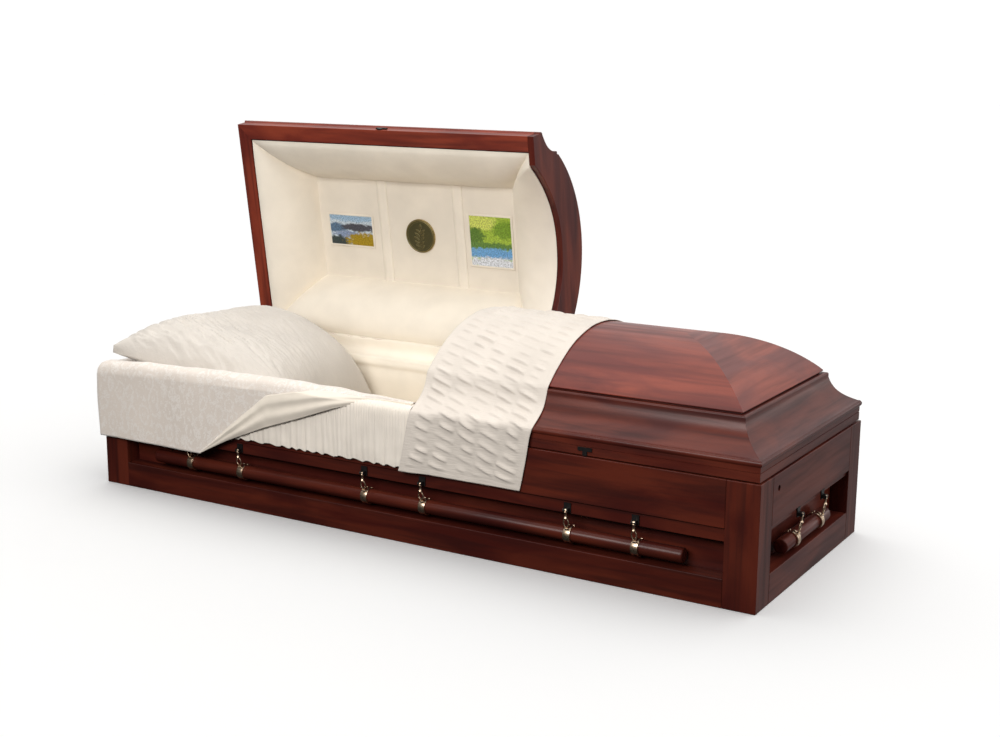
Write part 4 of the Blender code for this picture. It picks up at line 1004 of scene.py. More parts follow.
def pillow_crepe_lift(a, b, weight):
    """Long gathered ridges from head to foot, deepest at the front corner by the head."""
    head, side = (a + 1) * 0.26, (b + 1) * 0.30
    along, across = head * 0.94 - side * 0.34, head * 0.34 + side * 0.94
    bend = wavy(along, across, scale=9.0, seed=2.0) * 0.018
    ridges = abs(wavy(across + bend, along * 0.15, scale=92.0, seed=9.0))
    front = 0.25 + 0.75 * max(0.0, min(1.0, (0.30 - b) / 1.0))
    fade = min(1.0, weight * 4) * front * max(0.3, min(1.0, 0.9 - a * 0.7))
    lift = 0.0180 * (0.22 - ridges) * fade
    lift += 0.0028 * wavy(across, along * 0.3, scale=150.0, seed=7.0) * fade
    lift += wavy(a, b, scale=2.1, seed=4.0) * 0.006 * weight
    return lift + wavy(along, across, scale=40.0, seed=6.0) * 0.0010


slope = PILLOW_CORNERS[(1, 1)] - PILLOW_CORNERS[(-1, 1)]
pillow_up = Vector((-slope.z * 0.5, 0.0, slope.x)).normalized()
steps = PILLOW_STEPS
verts, faces = [], []
index = {}
for side in (1, -1):
    for i in range(steps + 1):
        for j in range(steps + 1):
            a = math.sin(math.pi / 2 * (2 * i / steps - 1))
            b = math.sin(math.pi / 2 * (2 * j / steps - 1))
            weight = (1 - a ** 4) * (1 - b ** 6)
            middle = pillow_middle(a, b)
            tip = math.exp(-((a + 1) ** 2 + (b + 1) ** 2) / 0.03)
            edge = 0.0015 + 0.0105 * tip
            if side > 0:
                lift = edge + (PILLOW_CROWN - 0.030 * (1 - b) / 2) * weight ** 0.60
                upper_puff = math.exp(-((a - 0.10) / 0.5) ** 2 - ((b - 0.60) / 0.5) ** 2)
                lift += 0.020 * upper_puff * min(1.0, weight * 2)
                lift += pillow_crepe_lift(a, b, weight) if weight > 0 else 0.0
            else:
                lift = -edge - PILLOW_UNDER * weight ** 0.7
            point = middle + pillow_up * lift
            point.z = max(point.z, MATTRESS_TOP + 0.001)
            index[(side, i, j)] = len(verts)
            verts.append(point)
for side in (1, -1):
    for i in range(steps):
        for j in range(steps):
            quad = [index[(side, i, j)], index[(side, i + 1, j)], index[(side, i + 1, j + 1)],
                    index[(side, i, j + 1)]]
            faces.append(tuple(quad if side > 0 else quad[::-1]))
border = [(i, 0) for i in range(steps)] + [(steps, j) for j in range(steps)]
border += [(i, steps) for i in range(steps, 0, -1)] + [(0, j) for j in range(steps, 0, -1)]
for (i, j), (k, m) in zip(border, border[1:] + border[:1]):
    faces.append((index[(1, i, j)], index[(1, k, m)], index[(-1, k, m)], index[(-1, i, j)]))
mesh = mesh_of("pillow_pad", verts, faces, merge=0)
pillow_crepe = cloth("pillow crepe", (0.63, 0.585, 0.53), threads=1300.0, crinkle=1.5,
                     crinkle_scale=(90.0, 150.0, 90.0), sheen=0.3, bump=0.85)
pillow = add_piece("pillow_pad", mesh, [pillow_crepe], "casket_body", ["pillow"], sharp=70)
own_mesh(pillow)


# Padding of the head lid: four puffed velvet rolls that meet on mitred seams, round a flat crepe panel
# with two ribbons and two picture pockets. The cloth laps over the hinge-side rail.

PANEL_MIDDLE = (-0.4885, 0.0)
PANEL_SIZE = (0.767, 0.345)
PANEL_DEPTH = 0.158
MOUTH_X = (-0.9995, 0.0485)
MOUTH_Y = 0.3185
MOUTH_LIP = 0.0065

# The lid's velvet is the body's cream velvet painted lighter, for the light that falls on the open lid's
# padding.
velvet_painted_lighter = cloth("lid velvet", (0.93, 0.855, 0.735), threads=2600.0, crinkle=0.22,
                   crinkle_scale=(30.0, 30.0, 30.0), sheen=0.3, bump=0.3)
panel_crepe = cloth("lid panel crepe", (0.89, 0.815, 0.70), threads=1300.0, crinkle=0.5,
                    crinkle_scale=(220.0, 60.0, 60.0), sheen=0.2, bump=0.4)


def closed_lid_point(x, y, v):
    return OPENED @ Vector((x, y, LID_BASE + v))


x_low, x_high = PANEL_MIDDLE[0] - PANEL_SIZE[0] / 2, PANEL_MIDDLE[0] + PANEL_SIZE[0] / 2
half_y = PANEL_SIZE[1] / 2
mouth = [(MOUTH_X[0], -MOUTH_Y), (MOUTH_X[1], -MOUTH_Y), (MOUTH_X[1], MOUTH_Y), (MOUTH_X[0], MOUTH_Y)]
inner = [(x_low, -half_y), (x_high, -half_y), (x_high, half_y), (x_low, half_y)]


def arch_lip(y):
    """Depth of the padding's edge along the arched board at the meeting end."""
    return max(MOUTH_LIP, arch_height(y) - 0.001)


# Puff of each roll: front rail side, meeting end, hinge side, head end
puffs = (0.030, 0.022, 0.046, 0.024)
meshes = []
for number in range(4):
    m0, m1 = mouth[number], mouth[(number + 1) % 4]
    p0, p1 = inner[number], inner[(number + 1) % 4]
    edge = Vector((m1[0] - m0[0], m1[1] - m0[1], 0.0)).normalized()
    inwards = Vector((-edge.y, edge.x, 0.0))
    m_mid = Vector((m0[0] + m1[0], m0[1] + m1[1], 0)) / 2
    p_mid = Vector((p0[0] + p1[0], p0[1] + p1[1], 0)) / 2
    run = (p_mid - m_mid).dot(inwards)
    length = (Vector(m1) - Vector(m0)).length
    rows = []
    for s in np.linspace(0.0, 1.0, 34):
        row = []
        for a in np.linspace(0.0, 1.0, 120):
            t = 0.5 - 0.5 * math.cos(math.pi * a) if number == 1 else a
            x = (m0[0] * (1 - t) + m1[0] * t) * (1 - s) + (p0[0] * (1 - t) + p1[0] * t) * s
            y = (m0[1] * (1 - t) + m1[1] * t) * (1 - s) + (p0[1] * (1 - t) + p1[1] * t) * s
            lip = arch_lip(m0[1] * (1 - t) + m1[1] * t) if number == 1 else MOUTH_LIP
            v = lip * (1 - s) + PANEL_DEPTH * s
            fall = PANEL_DEPTH - lip
            outward = Vector((inwards.x * fall, inwards.y * fall, -run)).normalized()
            width = length * (1 - s) + PANEL_SIZE[number % 2] * s
            corner = min(t, 1 - t) * width
            tuck = 1.0 - math.exp(-corner / 0.030)
            crown = math.sin(math.pi * min(1.0, s * 1.02) ** 0.80) ** 0.75
            creases = wavy(t * length, s * 0.05, scale=24.0, seed=number * 3.3) * 0.0016
            swell = wavy(t * length, s * 0.3, scale=5.0, seed=number * 1.9) * 0.004
            out = (puffs[number] + swell) * crown * (0.25 + 0.75 * tuck) + creases * math.sin(math.pi * s)
            row.append((x + outward.x * out, y + outward.y * out, v + outward.z * out))
        rows.append(row)
    placed = [[tuple(closed_lid_point(*p)) for p in row] for row in rows]
    meshes.append(grid_mesh(f"roll_{number}", placed))
bm = bmesh.new()
for mesh in meshes:
    bm.from_mesh(mesh)
bmesh.ops.remove_doubles(bm, verts=bm.verts, dist=0.0004)
mesh = bpy.data.meshes.new("lid_rolls")
bm.to_mesh(mesh)
bm.free()
mesh = thicken(mesh, 0.0035, offset=-1.0)
rolls = add_piece("lid_rolls", mesh, [velvet_painted_lighter], "head_lid", ["head_lid_lining"], sharp=60)

rows = []
for y in np.linspace(-half_y - 0.006, half_y + 0.006, 70):
    row = []
    for x in np.linspace(x_low - 0.006, x_high + 0.006, 150):
        ripple = wavy(x * 3.0, y, scale=16.0, seed=8.0) * 0.0006
        row.append(tuple(closed_lid_point(x, y, PANEL_DEPTH - 0.001 + ripple)))
    rows.append(row)
panel = add_piece("lid_panel", thicken(grid_mesh("lid_panel", rows), 0.0012, offset=0.0), [panel_crepe],
                  "head_lid", (), sharp=0)

# Ribbons across the panel, and the welts that hold the pictures
for number, middle in enumerate((-0.6065, -0.3145)):
    rows = []
    for y in np.linspace(-half_y - 0.004, half_y + 0.004, 60):
        row = []
        for k in np.linspace(-1.0, 1.0, 11):
            lift = 0.0032 * (1 - abs(k) ** 3) + wavy(y, k, scale=30.0, seed=2.0 + number) * 0.0004
            row.append(tuple(closed_lid_point(middle + 0.019 * k, y, PANEL_DEPTH - 0.0020 - lift)))
        rows.append(row)
    ribbon = add_piece(f"lid_ribbon_{number + 1}", thicken(grid_mesh("ribbon", rows), 0.0010, offset=0.0),
                       [velvet_painted_lighter], "head_lid", (), sharp=0)

CARD_FACE = PANEL_DEPTH - 0.0040
PICTURES = {
    "landscape_card": (PANEL_MIDDLE[0] - PANEL_SIZE[0] / 2 + 0.0395 + 0.088, 0.176, 0.104),
    "portrait_card": (PANEL_MIDDLE[0] + PANEL_SIZE[0] / 2 - 0.0155 - 0.078, 0.156, 0.166),
}
CARD_RAISE = 0.006


def picture_card(name, ground, patches):
    """A generic printed view: broad soft-edged patches of colour over a ground, with a leafy break-up."""
    material, tree, shader = new_nodes(name)
    place = add_node(tree, "ShaderNodeTexCoord")
    leaves = add_node(tree, "ShaderNodeTexNoise", Scale=11.0, Detail=6.0, Vector=(place, "UV"))
    last = None
    for centre, reach, colour in patches:
        offset = add_node(tree, "ShaderNodeVectorMath", (place, "UV"), (*centre, 0.0), operation="SUBTRACT")
        shape = add_node(tree, "ShaderNodeVectorMath", (offset, "Vector"), (*reach, 1.0), operation="DIVIDE")
        distance = add_node(tree, "ShaderNodeVectorMath", (shape, "Vector"), operation="LENGTH")
        ragged = add_node(tree, "ShaderNodeMath", (leaves, "Fac"), 1.5, (distance, "Value"),
                          operation="MULTIPLY_ADD")
        mask = add_node(tree, "ShaderNodeMapRange", interpolation_type="SMOOTHSTEP", From_Min=1.46,
                        From_Max=1.90, To_Min=1.0, To_Max=0.0, Value=(ragged, "Value"))
        mix = add_node(tree, "ShaderNodeMix", data_type="RGBA", Factor=(mask, "Result"))
        if last is None:
            mix.inputs["A"].default_value = (*ground, 1.0)
        else:
            link(tree, last, "Result", mix, "A")
        mix.inputs["B"].default_value = (*colour, 1.0)
        last = mix
    fine = add_node(tree, "ShaderNodeTexNoise", Scale=34.0, Detail=5.0, Vector=(place, "UV"))
    dapple = add_node(tree, "ShaderNodeMapRange", From_Min=0.35, From_Max=0.65, To_Min=0.55, To_Max=1.15,
                      Value=(fine, "Fac"))
    printed = add_node(tree, "ShaderNodeVectorMath", (last, "Result"), operation="SCALE",
                       Scale=(dapple, "Result"))
    link(tree, printed, "Vector", shader, "Base Color")
    rough = add_node(tree, "ShaderNodeMapRange", To_Min=0.25, To_Max=0.40, Value=(leaves, "Fac"))
    link(tree, rough, "Result", shader, "Roughness")
    return material


CARD_FINISH = {
    "landscape_card": picture_card("landscape picture", (0.66, 0.76, 0.84), (
        ((0.50, 0.98), (0.80, 0.20), (0.40, 0.58, 0.76)),
        ((0.16, 0.56), (0.34, 0.16), (0.13, 0.22, 0.34)),
        ((0.66, 0.60), (0.44, 0.14), (0.10, 0.10, 0.12)),
        ((0.40, 0.36), (0.34, 0.12), (0.30, 0.38, 0.56)),
        ((0.14, 0.10), (0.34, 0.20), (0.06, 0.08, 0.08)),
        ((0.80, 0.14), (0.46, 0.30), (0.46, 0.31, 0.02)))),
    "portrait_card": picture_card("garden picture", (0.42, 0.60, 0.06), (
        ((0.26, 0.86), (0.44, 0.16), (0.72, 0.80, 0.16)),
        ((0.84, 0.74), (0.30, 0.18), (0.22, 0.38, 0.03)),
        ((0.10, 0.60), (0.26, 0.18), (0.12, 0.24, 0.03)),
        ((0.50, 0.40), (0.76, 0.09), (0.14, 0.28, 0.05)),
        ((0.56, 0.26), (0.80, 0.12), (0.18, 0.44, 0.78)),
        ((0.60, 0.08), (0.80, 0.12), (0.82, 0.86, 0.92)))),
}
for name, (middle, width, height) in PICTURES.items():
    card = bpy.data.meshes.new(name)
    corners = []
    for v in (CARD_FACE, CARD_FACE + 0.0012):
        for sx, sy in ((-1, 1), (1, 1), (1, -1), (-1, -1)):
            corners.append(closed_lid_point(middle + sx * width / 2, CARD_RAISE + sy * height / 2, v))
    sides = [(k, (k + 1) % 4, 4 + (k + 1) % 4, 4 + k) for k in range(4)]
    card.from_pydata([tuple(c) for c in corners], [], [(0, 1, 2, 3), (7, 6, 5, 4)] + sides)
    flat = card.uv_layers.new(name="pattern")
    places = {0: (0, 0), 1: (1, 0), 2: (1, 1), 3: (0, 1), 4: (0, 0), 5: (1, 0), 6: (1, 1), 7: (0, 1)}
    for loop in card.loops:
        flat.data[loop.index].uv = places[loop.vertex_index]
    bm = bmesh.new()
    bm.from_mesh(card)
    bmesh.ops.recalc_face_normals(bm, faces=bm.faces)
    bm.to_mesh(card)
    bm.free()
    add_piece(f"{name}_print", card, [CARD_FINISH[name]], "head_lid", [name])
    welt_rows = []
    for turn in np.linspace(0, 2 * math.pi, 9):
        ring = []
        for sx, sy in ((-1, 1), (1, 1), (1, -1), (-1, -1)):
            grow = 0.0035 + 0.0035 * math.cos(turn)
            x = middle + sx * (width / 2 - 0.002 + grow)
            y = CARD_RAISE + sy * (height / 2 - 0.002 + grow)
            ring.append(tuple(closed_lid_point(x, y, CARD_FACE - 0.0002 - 0.0022 * math.sin(turn))))
        welt_rows.append(ring)
    add_piece(f"{name}_welt", grid_mesh("welt", welt_rows, closed=True), [panel_crepe], "head_lid",
              (), sharp=60)

# Cloth strip that bridges the hinge, from the lid's padding over its rail and down to the body's top roll
bridge = [tuple(closed_lid_point(0.0, y, v).yz) for y, v in ((MOUTH_Y, MOUTH_LIP + 0.001), (0.3225, 0.0005),
                                                             (0.3265, -0.0014), (0.3390, -0.0014))]
bridge += [(0.3728, 0.3510), (0.3715, 0.3430), (0.3670, 0.3350), (0.3590, 0.3290), (0.3480, 0.3258),
           (0.3360, 0.3262), (0.3260, 0.3280), (0.3180, 0.3298), (0.3100, 0.3296), (0.3040, 0.3262)]
rows = []
for y, z in bridge:
    row = []
    for x in np.linspace(-0.985, 0.058, 200):
        soft = wavy(x, y + z, scale=22.0, seed=7.0) * 0.0010
        row.append((x, y - soft * 0.4, z + soft))
    rows.append(row)
strip = grid_mesh("hinge_cloth", rows)
strip = thicken(strip, 0.0008, offset=0.0)
strip.materials.append(velvet_painted_lighter)
strip.polygons.foreach_set("use_smooth", [True] * len(strip.polygons))
hinge_cloth = bpy.data.objects.new("hinge_cloth", strip)
bpy.context.scene.collection.objects.link(hinge_cloth)
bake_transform(hinge_cloth)


# Medallion: a cast bronze disc pinned to the middle of the panel, with a raised rim and a sprig of leaves.

MEDALLION_MIDDLE = (PANEL_MIDDLE[0] + 0.022, CARD_RAISE)
MEDALLION_RADIUS = 0.056
MEDALLION_RISE = 0.008


def leaf_height(x, y):
    """Relief of one sprig: a bent stem with paired pointed leaves, each with a middle vein."""
    best = 0.0
    for number in range(-1, 5):
        stem_y = -0.030 + 0.013 * number
        stem_x = 0.004 * math.sin(stem_y * 60)
        for side in (-1, 1):
            angle = math.radians(52) * side if number < 4 else 0.0
            dx, dy = x - stem_x, y - stem_y
            along = dx * math.sin(angle) + dy * math.cos(angle)
            across = dx * math.cos(angle) - dy * math.sin(angle)
            length = 0.026 - 0.0018 * abs(number - 1)
            t = along / length
            if 0.0 < t < 1.0:
                half = 0.0058 * math.sin(math.pi * t ** 0.8)
                if abs(across) < half:
                    rise = 0.0016 * (1 - (across / half) ** 2) ** 0.5
                    rise -= 0.0007 * math.exp(-(across / 0.0005) ** 2)
                    best = max(best, rise)
    stem = abs(x - 0.004 * math.sin(y * 60))
    if -0.044 < y < 0.030 and stem < 0.0011:
        best = max(best, 0.0013)
    return best


verts, faces = [], []
rings, spokes = 70, 150
for r in range(1, rings + 1):
    for k in range(spokes):
        radius = MEDALLION_RADIUS * r / rings
        angle = 2 * math.pi * k / spokes
        x, y = radius * math.cos(angle), radius * math.sin(angle)
        rim = 0.0022 * math.exp(-((radius - MEDALLION_RADIUS + 0.0040) / 0.0022) ** 2)
        bead = 0.0008 * math.exp(-((radius - 0.0460) / 0.0010) ** 2) * (0.6 + 0.4 * math.cos(60 * angle))
        height = MEDALLION_RISE - 0.0026 + rim + bead
        if radius < 0.044:
            height += leaf_height(x, y) + 0.0003 * wavy(x, y, scale=260.0, seed=1.0)
        if r == rings:
            height = MEDALLION_RISE - 0.0040
        verts.append((x, y, height))
middle_vert = len(verts)
verts.append((0.0, 0.0, MEDALLION_RISE - 0.0016))
for k in range(spokes):
    faces.append((middle_vert, k, (k + 1) % spokes))
for r in range(rings - 1):
    for k in range(spokes):
        a, b = r * spokes + k, r * spokes + (k + 1) % spokes
        faces.append((a, a + spokes, b + spokes, b))
first = len(verts)
for k in range(spokes):
    x, y, _ = verts[(rings - 1) * spokes + k]
    verts.append((x, y, 0.0))
for k in range(spokes):
    a, b = (rings - 1) * spokes + k, (rings - 1) * spokes + (k + 1) % spokes
    faces.append((a, first + k, first + (k + 1) % spokes, b))
faces.append(tuple(range(first + spokes - 1, first - 1, -1)))
mesh = mesh_of("medallion_disc", verts, faces, merge=0)
mesh.transform(OPENED @ Matrix.Translation((*MEDALLION_MIDDLE, LID_BASE + PANEL_DEPTH - 0.0015))
               @ Matrix.Rotation(math.pi, 4, "X"))
bronze, tree, shader = new_nodes("medallion bronze")
place = add_node(tree, "ShaderNodeTexCoord")
patina = add_node(tree, "ShaderNodeTexNoise", Scale=160.0, Detail=5.0, Vector=(place, "Object"))
raised = add_node(tree, "ShaderNodeNewGeometry")
edges = add_node(tree, "ShaderNodeMapRange", interpolation_type="SMOOTHSTEP", From_Min=0.50,
                 From_Max=0.550, Value=(raised, "Pointiness"))
worn = add_node(tree, "ShaderNodeMath", (edges, "Result"), (patina, "Fac"),
                operation="MULTIPLY", use_clamp=True)
hue = add_node(tree, "ShaderNodeMix", data_type="RGBA", A=(0.115, 0.105, 0.048, 1.0),
               B=(0.72, 0.52, 0.20, 1.0), Factor=(worn, "Value"))
link(tree, hue, "Result", shader, "Base Color")
shader.inputs["Metallic"].default_value = 0.85
rough = add_node(tree, "ShaderNodeMapRange", To_Min=0.55, To_Max=0.35, Value=(worn, "Value"))
link(tree, rough, "Result", shader, "Roughness")
add_piece("medallion_disc", mesh, [bronze], "head_lid", ["medallion"], sharp=50)


# Front apron: a long strip of crepe gathered on a shirred band over the front top board. It hangs in
# front of the body in close soft pleats to a scalloped hem.

APRON_END_X = 0.0705
APRON_START_X = -0.985
APRON_HEM = 0.213

apron_crepe = cloth("apron crepe", (0.80, 0.735, 0.65), threads=1500.0, crinkle=0.5,
                    crinkle_scale=(260.0, 40.0, 40.0), sheen=0.25, bump=0.4)
profile = [(-0.3375, 0.3225), (-0.3372, 0.340), (-0.3375, 0.358), (-0.3400, 0.371), (-0.3470, 0.3790),
           (-0.3560, 0.3815), (-0.3660, 0.3805), (-0.3745, 0.3755), (-0.3800, 0.3660), (-0.3820, 0.3540),
           (-0.3825, 0.3400), (-0.3828, 0.3250), (-0.3830, 0.3100), (-0.3832, 0.2950), (-0.3834, 0.2800),
           (-0.3836, 0.2650), (-0.3838, 0.2500), (-0.3838, 0.2380), (-0.3838, 0.2290), (-0.3836, 0.2220),
           (-0.3834, 0.2160), (-0.3832, APRON_HEM)]


def finer(points, parts):
    """The same line with each step divided."""
    made = []
    for (a, b), (c, d) in zip(points, points[1:]):
        made += [(a + (c - a) * k / parts, b + (d - b) * k / parts) for k in range(parts)]
    return made + [points[-1]]


profile = finer(profile, 2)
columns = np.linspace(APRON_START_X, APRON_END_X, 620)
rows = []
for number, (y, z) in enumerate(profile):
    t = number / (len(profile) - 1)
    drop = max(0.0, (0.360 - z) / (0.360 - APRON_HEM)) if number > 14 else 0.0
    row = []
    for x in columns:
        shirr = math.sin(2 * math.pi * (x / 0.0088 + 0.8 * wavy(x, 0, scale=20.0, seed=1.0)))
        pleat = math.sin(2 * math.pi * (x / 0.0185 + 1.1 * wavy(x, z * 0.3, scale=11.0, seed=2.0)))
        wave = math.sin(2 * math.pi * (x / 0.0385 + 0.9 * wavy(x, 0, scale=7.0, seed=4.0)))
        band = math.exp(-((t - 0.42) / 0.16) ** 2)
        out = 0.0010 * shirr * (0.35 + band) * (1 - 0.75 * drop)
        out += 0.0012 * pleat * (0.25 + 0.75 * drop) + 0.0021 * wave * drop ** 1.5
        out += 0.0012 * wavy(x, z, scale=26.0, seed=3.0)
        flat = 1.0 if number > 10 else 0.5
        lift = out * 0.6 if number < 20 else 0.0
        z_hem = z + (0.0032 * wave + 0.0008 * pleat) * drop ** 6
        row.append((x, y - (out + 0.0012) * flat * (1.0 if number > 14 else 0.0), z_hem + lift))
    rows.append(row)
mesh = thicken(grid_mesh("apron_skirt", rows), 0.0011, offset=0.0)
apron = add_piece("apron_skirt", mesh, [apron_crepe], "casket_body", ["front_apron"], sharp=0)
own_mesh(apron)


# Throw: a lined coverlet of embroidered lace over the apron and round the head end. Its free corner is
# folded back, so that the plain satin lining shows.

THROW_HEM = 0.151
THROW_FACE_Y = -0.3915
THROW_FACE_X = -1.0715
THROW_END_X = 0.066
THROW_BACK_Y = 0.3330

lace, tree, shader = new_nodes("embroidered lace")
place = add_node(tree, "ShaderNodeTexCoord")
weave = add_node(tree, "ShaderNodeGroup", node_tree=woven_cloth, Vector=(place, "UV"),
                 Color=(0.73, 0.655, 0.585, 1.0), Threads=1700.0, Crinkle=0.25)
split = add_node(tree, "ShaderNodeSeparateXYZ", Vector=(place, "UV"))
flowers = add_node(tree, "ShaderNodeTexVoronoi", feature="F1", Scale=26.0, Randomness=0.8)
bend = add_node(tree, "ShaderNodeTexNoise", Scale=30.0, Detail=3.0, Vector=(place, "UV"))
shift = add_node(tree, "ShaderNodeVectorMath", (bend, "Color"), (0.020, 0.020, 0.0), (place, "UV"),
                 operation="MULTIPLY_ADD")
link(tree, shift, "Vector", flowers, "Vector")
petals = add_node(tree, "ShaderNodeMath", operation="SINE")
rings = add_node(tree, "ShaderNodeMath", (flowers, "Distance"), 17.0, operation="MULTIPLY")
link(tree, rings, "Value", petals, 0)
vines = add_node(tree, "ShaderNodeTexNoise", Scale=150.0, Detail=4.0, Distortion=2.0, Vector=(place, "UV"))
thread = add_node(tree, "ShaderNodeMath", (petals, "Value"), 0.10, (vines, "Fac"), operation="MULTIPLY_ADD")
stitched = add_node(tree, "ShaderNodeMapRange", interpolation_type="SMOOTHSTEP", From_Min=0.52,
                    From_Max=0.60, Value=(thread, "Value"))
# The embroidery is set out from the hem: a plain hem, a wavy raised border, then the flowered field.
ripple = add_node(tree, "ShaderNodeTexNoise", Scale=16.0, Detail=2.0, Vector=(place, "UV"))
level = add_node(tree, "ShaderNodeMath", (ripple, "Fac"), 0.030, (split, "Y"), operation="MULTIPLY_ADD")
field = add_node(tree, "ShaderNodeMapRange", interpolation_type="SMOOTHSTEP", From_Min=0.232,
                 From_Max=0.240, To_Min=1.0, To_Max=0.0, Value=(level, "Value"))
border = add_node(tree, "ShaderNodeMath", (level, "Value"), 0.237, 0.0022, operation="COMPARE")
pattern = add_node(tree, "ShaderNodeMath", (stitched, "Result"), (field, "Result"), operation="MULTIPLY")
raised = add_node(tree, "ShaderNodeMath", (pattern, "Value"), (border, "Value"), operation="MAXIMUM")
hue = add_node(tree, "ShaderNodeMix", data_type="RGBA", Factor=(raised, "Value"), A=(weave, "Color"),
               B=(0.80, 0.745, 0.69, 1.0))
link(tree, hue, "Result", shader, "Base Color")
rough = add_node(tree, "ShaderNodeMapRange", To_Min=0.80, To_Max=0.45, Value=(raised, "Value"))
link(tree, rough, "Result", shader, "Roughness")
height = add_node(tree, "ShaderNodeMath", (raised, "Value"), 0.6, (weave, "Height"),
                  operation="MULTIPLY_ADD")
relief = add_node(tree, "ShaderNodeBump", Strength=0.40, Distance=0.0010, Height=(height, "Value"))
link(tree, relief, "Normal", shader, "Normal")
shader.inputs["Sheen Weight"].default_value = 0.35
shader.inputs["Specular IOR Level"].default_value = 0.3

satin = cloth("cream satin", (0.80, 0.725, 0.62), threads=2600.0, crinkle=0.12,
              crinkle_scale=(30.0, 30.0, 30.0), sheen=0.5, bump=0.2)
satin.node_tree.nodes["Principled BSDF"].inputs["Specular IOR Level"].default_value = 0.45


def follow(points, x):
    """Height of a line of (x, z) points at x."""
    return float(np.interp(x, [p[0] for p in points], [p[1] for p in points]))


# Lines along the front, as (x, height): the throw's slanting free edge, and the top of its roll
SLANT = [(-0.660, 0.151), (-0.624, 0.171), (-0.553, 0.206), (-0.416, 0.262), (-0.292, 0.305),
         (-0.172, 0.350), (-0.110, 0.371), (-0.049, 0.391)]
SINK = 0.28
HANDLE_CLEARANCE = 0.042
HANDLE_HALF_SPAN = 0.190


def drawn_in(x):
    """How far the throw's edge lies back on top of the apron's roll, near its foot end."""
    t = max(0.0, min(1.0, (x + 0.200) / 0.170))
    return 0.034 * t * t * (3 - 2 * t)


def end_top(y):
    """Height of the throw along the head end, lower towards the back."""
    return 0.372 - 0.020 * max(0.0, min(1.0, (y + 0.35) / 0.35))


TOP_LINE = [(-1.075, 0.372), (-1.02, 0.379), (-0.90, 0.386), (-0.647, 0.394), (-0.45, 0.398),
            (-0.283, 0.399), (-0.015, 0.390), (0.066, 0.387)]
path = []
corner = 0.016
for x in np.linspace(THROW_END_X, THROW_FACE_X + corner, 300):
    path.append((x, THROW_FACE_Y, 0.0, -1.0))
for k in range(1, 8):
    angle = math.radians(270 - 90 * k / 8)
    centre = (THROW_FACE_X + corner, THROW_FACE_Y + corner)
    path.append((centre[0] + corner * math.cos(angle), centre[1] + corner * math.sin(angle),
                 math.cos(angle), math.sin(angle)))
for y in np.linspace(THROW_FACE_Y + corner, THROW_BACK_Y, 190):
    path.append((THROW_FACE_X, y, -1.0, 0.0))
over = [(-0.0560, -0.024), (-0.0550, -0.012), (-0.0510, -0.004), (-0.0440, 0.0005), (-0.0340, 0.002),
        (-0.0240, 0.001), (-0.0150, -0.002), (-0.0080, -0.008), (-0.0030, -0.017), (-0.0008, -0.028)]
rows = []
for inward, below in over:
    row = []
    for x, y, out_x, out_y in path:
        top = follow(TOP_LINE, x) if out_y < -0.5 else end_top(y)
        back = drawn_in(x) if out_y < -0.5 else 0.0
        soft = wavy(x, y, inward, scale=14.0, seed=5.0) * 0.003
        # The inner edge turns the corner at the head end without overlapping itself.
        px = max(x + out_x * inward, THROW_FACE_X - inward) if out_y < -0.5 or out_x < -0.5 else x
        py = y + out_y * inward + back * min(1.0, 1 + inward / 0.045)
        if out_x < -0.2:
            py = max(py, THROW_FACE_Y - inward)
            px = x + out_x * inward
        row.append((px, py, top + below * (1 - back / 0.042) + soft))
    rows.append(row)
for t in np.linspace(0.0, 1.0, 44)[1:]:
    row = []
    for x, y, out_x, out_y in path:
        back = drawn_in(x) if out_y < -0.5 else 0.0
        top = follow(TOP_LINE, x) if out_y < -0.5 else end_top(y)
        start = top - 0.028 * (1 - back / 0.042)
        hem = follow(SLANT, x) if out_y < -0.5 and x > SLANT[0][0] else THROW_HEM
        # On the head end the hem arches up over the handle, which needs the room to swing out.
        if out_x < -0.5:
            hem += HANDLE_CLEARANCE * math.exp(-(y / HANDLE_HALF_SPAN) ** 4)
        hem = min(hem - SINK * back, start - 0.0015)
        drop = min(1.0, (start - hem) / 0.05)
        hem += 0.0016 * wavy(x, y, scale=9.0, seed=6.0) * drop
        z = start + (hem - start) * t
        fold = 0.0035 * wavy(x * 1.0 + y, z * 0.35, scale=7.5, seed=8.0) * t
        fold += 0.0014 * wavy(x + y, z * 0.2, scale=26.0, seed=2.0) * t
        fold = max(fold, -0.0015) * drop
        belly = 0.0055 * math.sin(math.pi * min(1.0, t * 1.1)) * max(0.0, -out_x) * drop
        row.append((x + out_x * (0.0002 + fold + belly), y + out_y * (0.0002 + fold) + back, z))
    rows.append(row)
mesh = thicken(grid_mesh("throw_cover", rows), 0.0014, offset=0.0)
throw = add_piece("throw_cover", mesh, [lace], "casket_body", ["head_throw"], sharp=0)
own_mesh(throw)

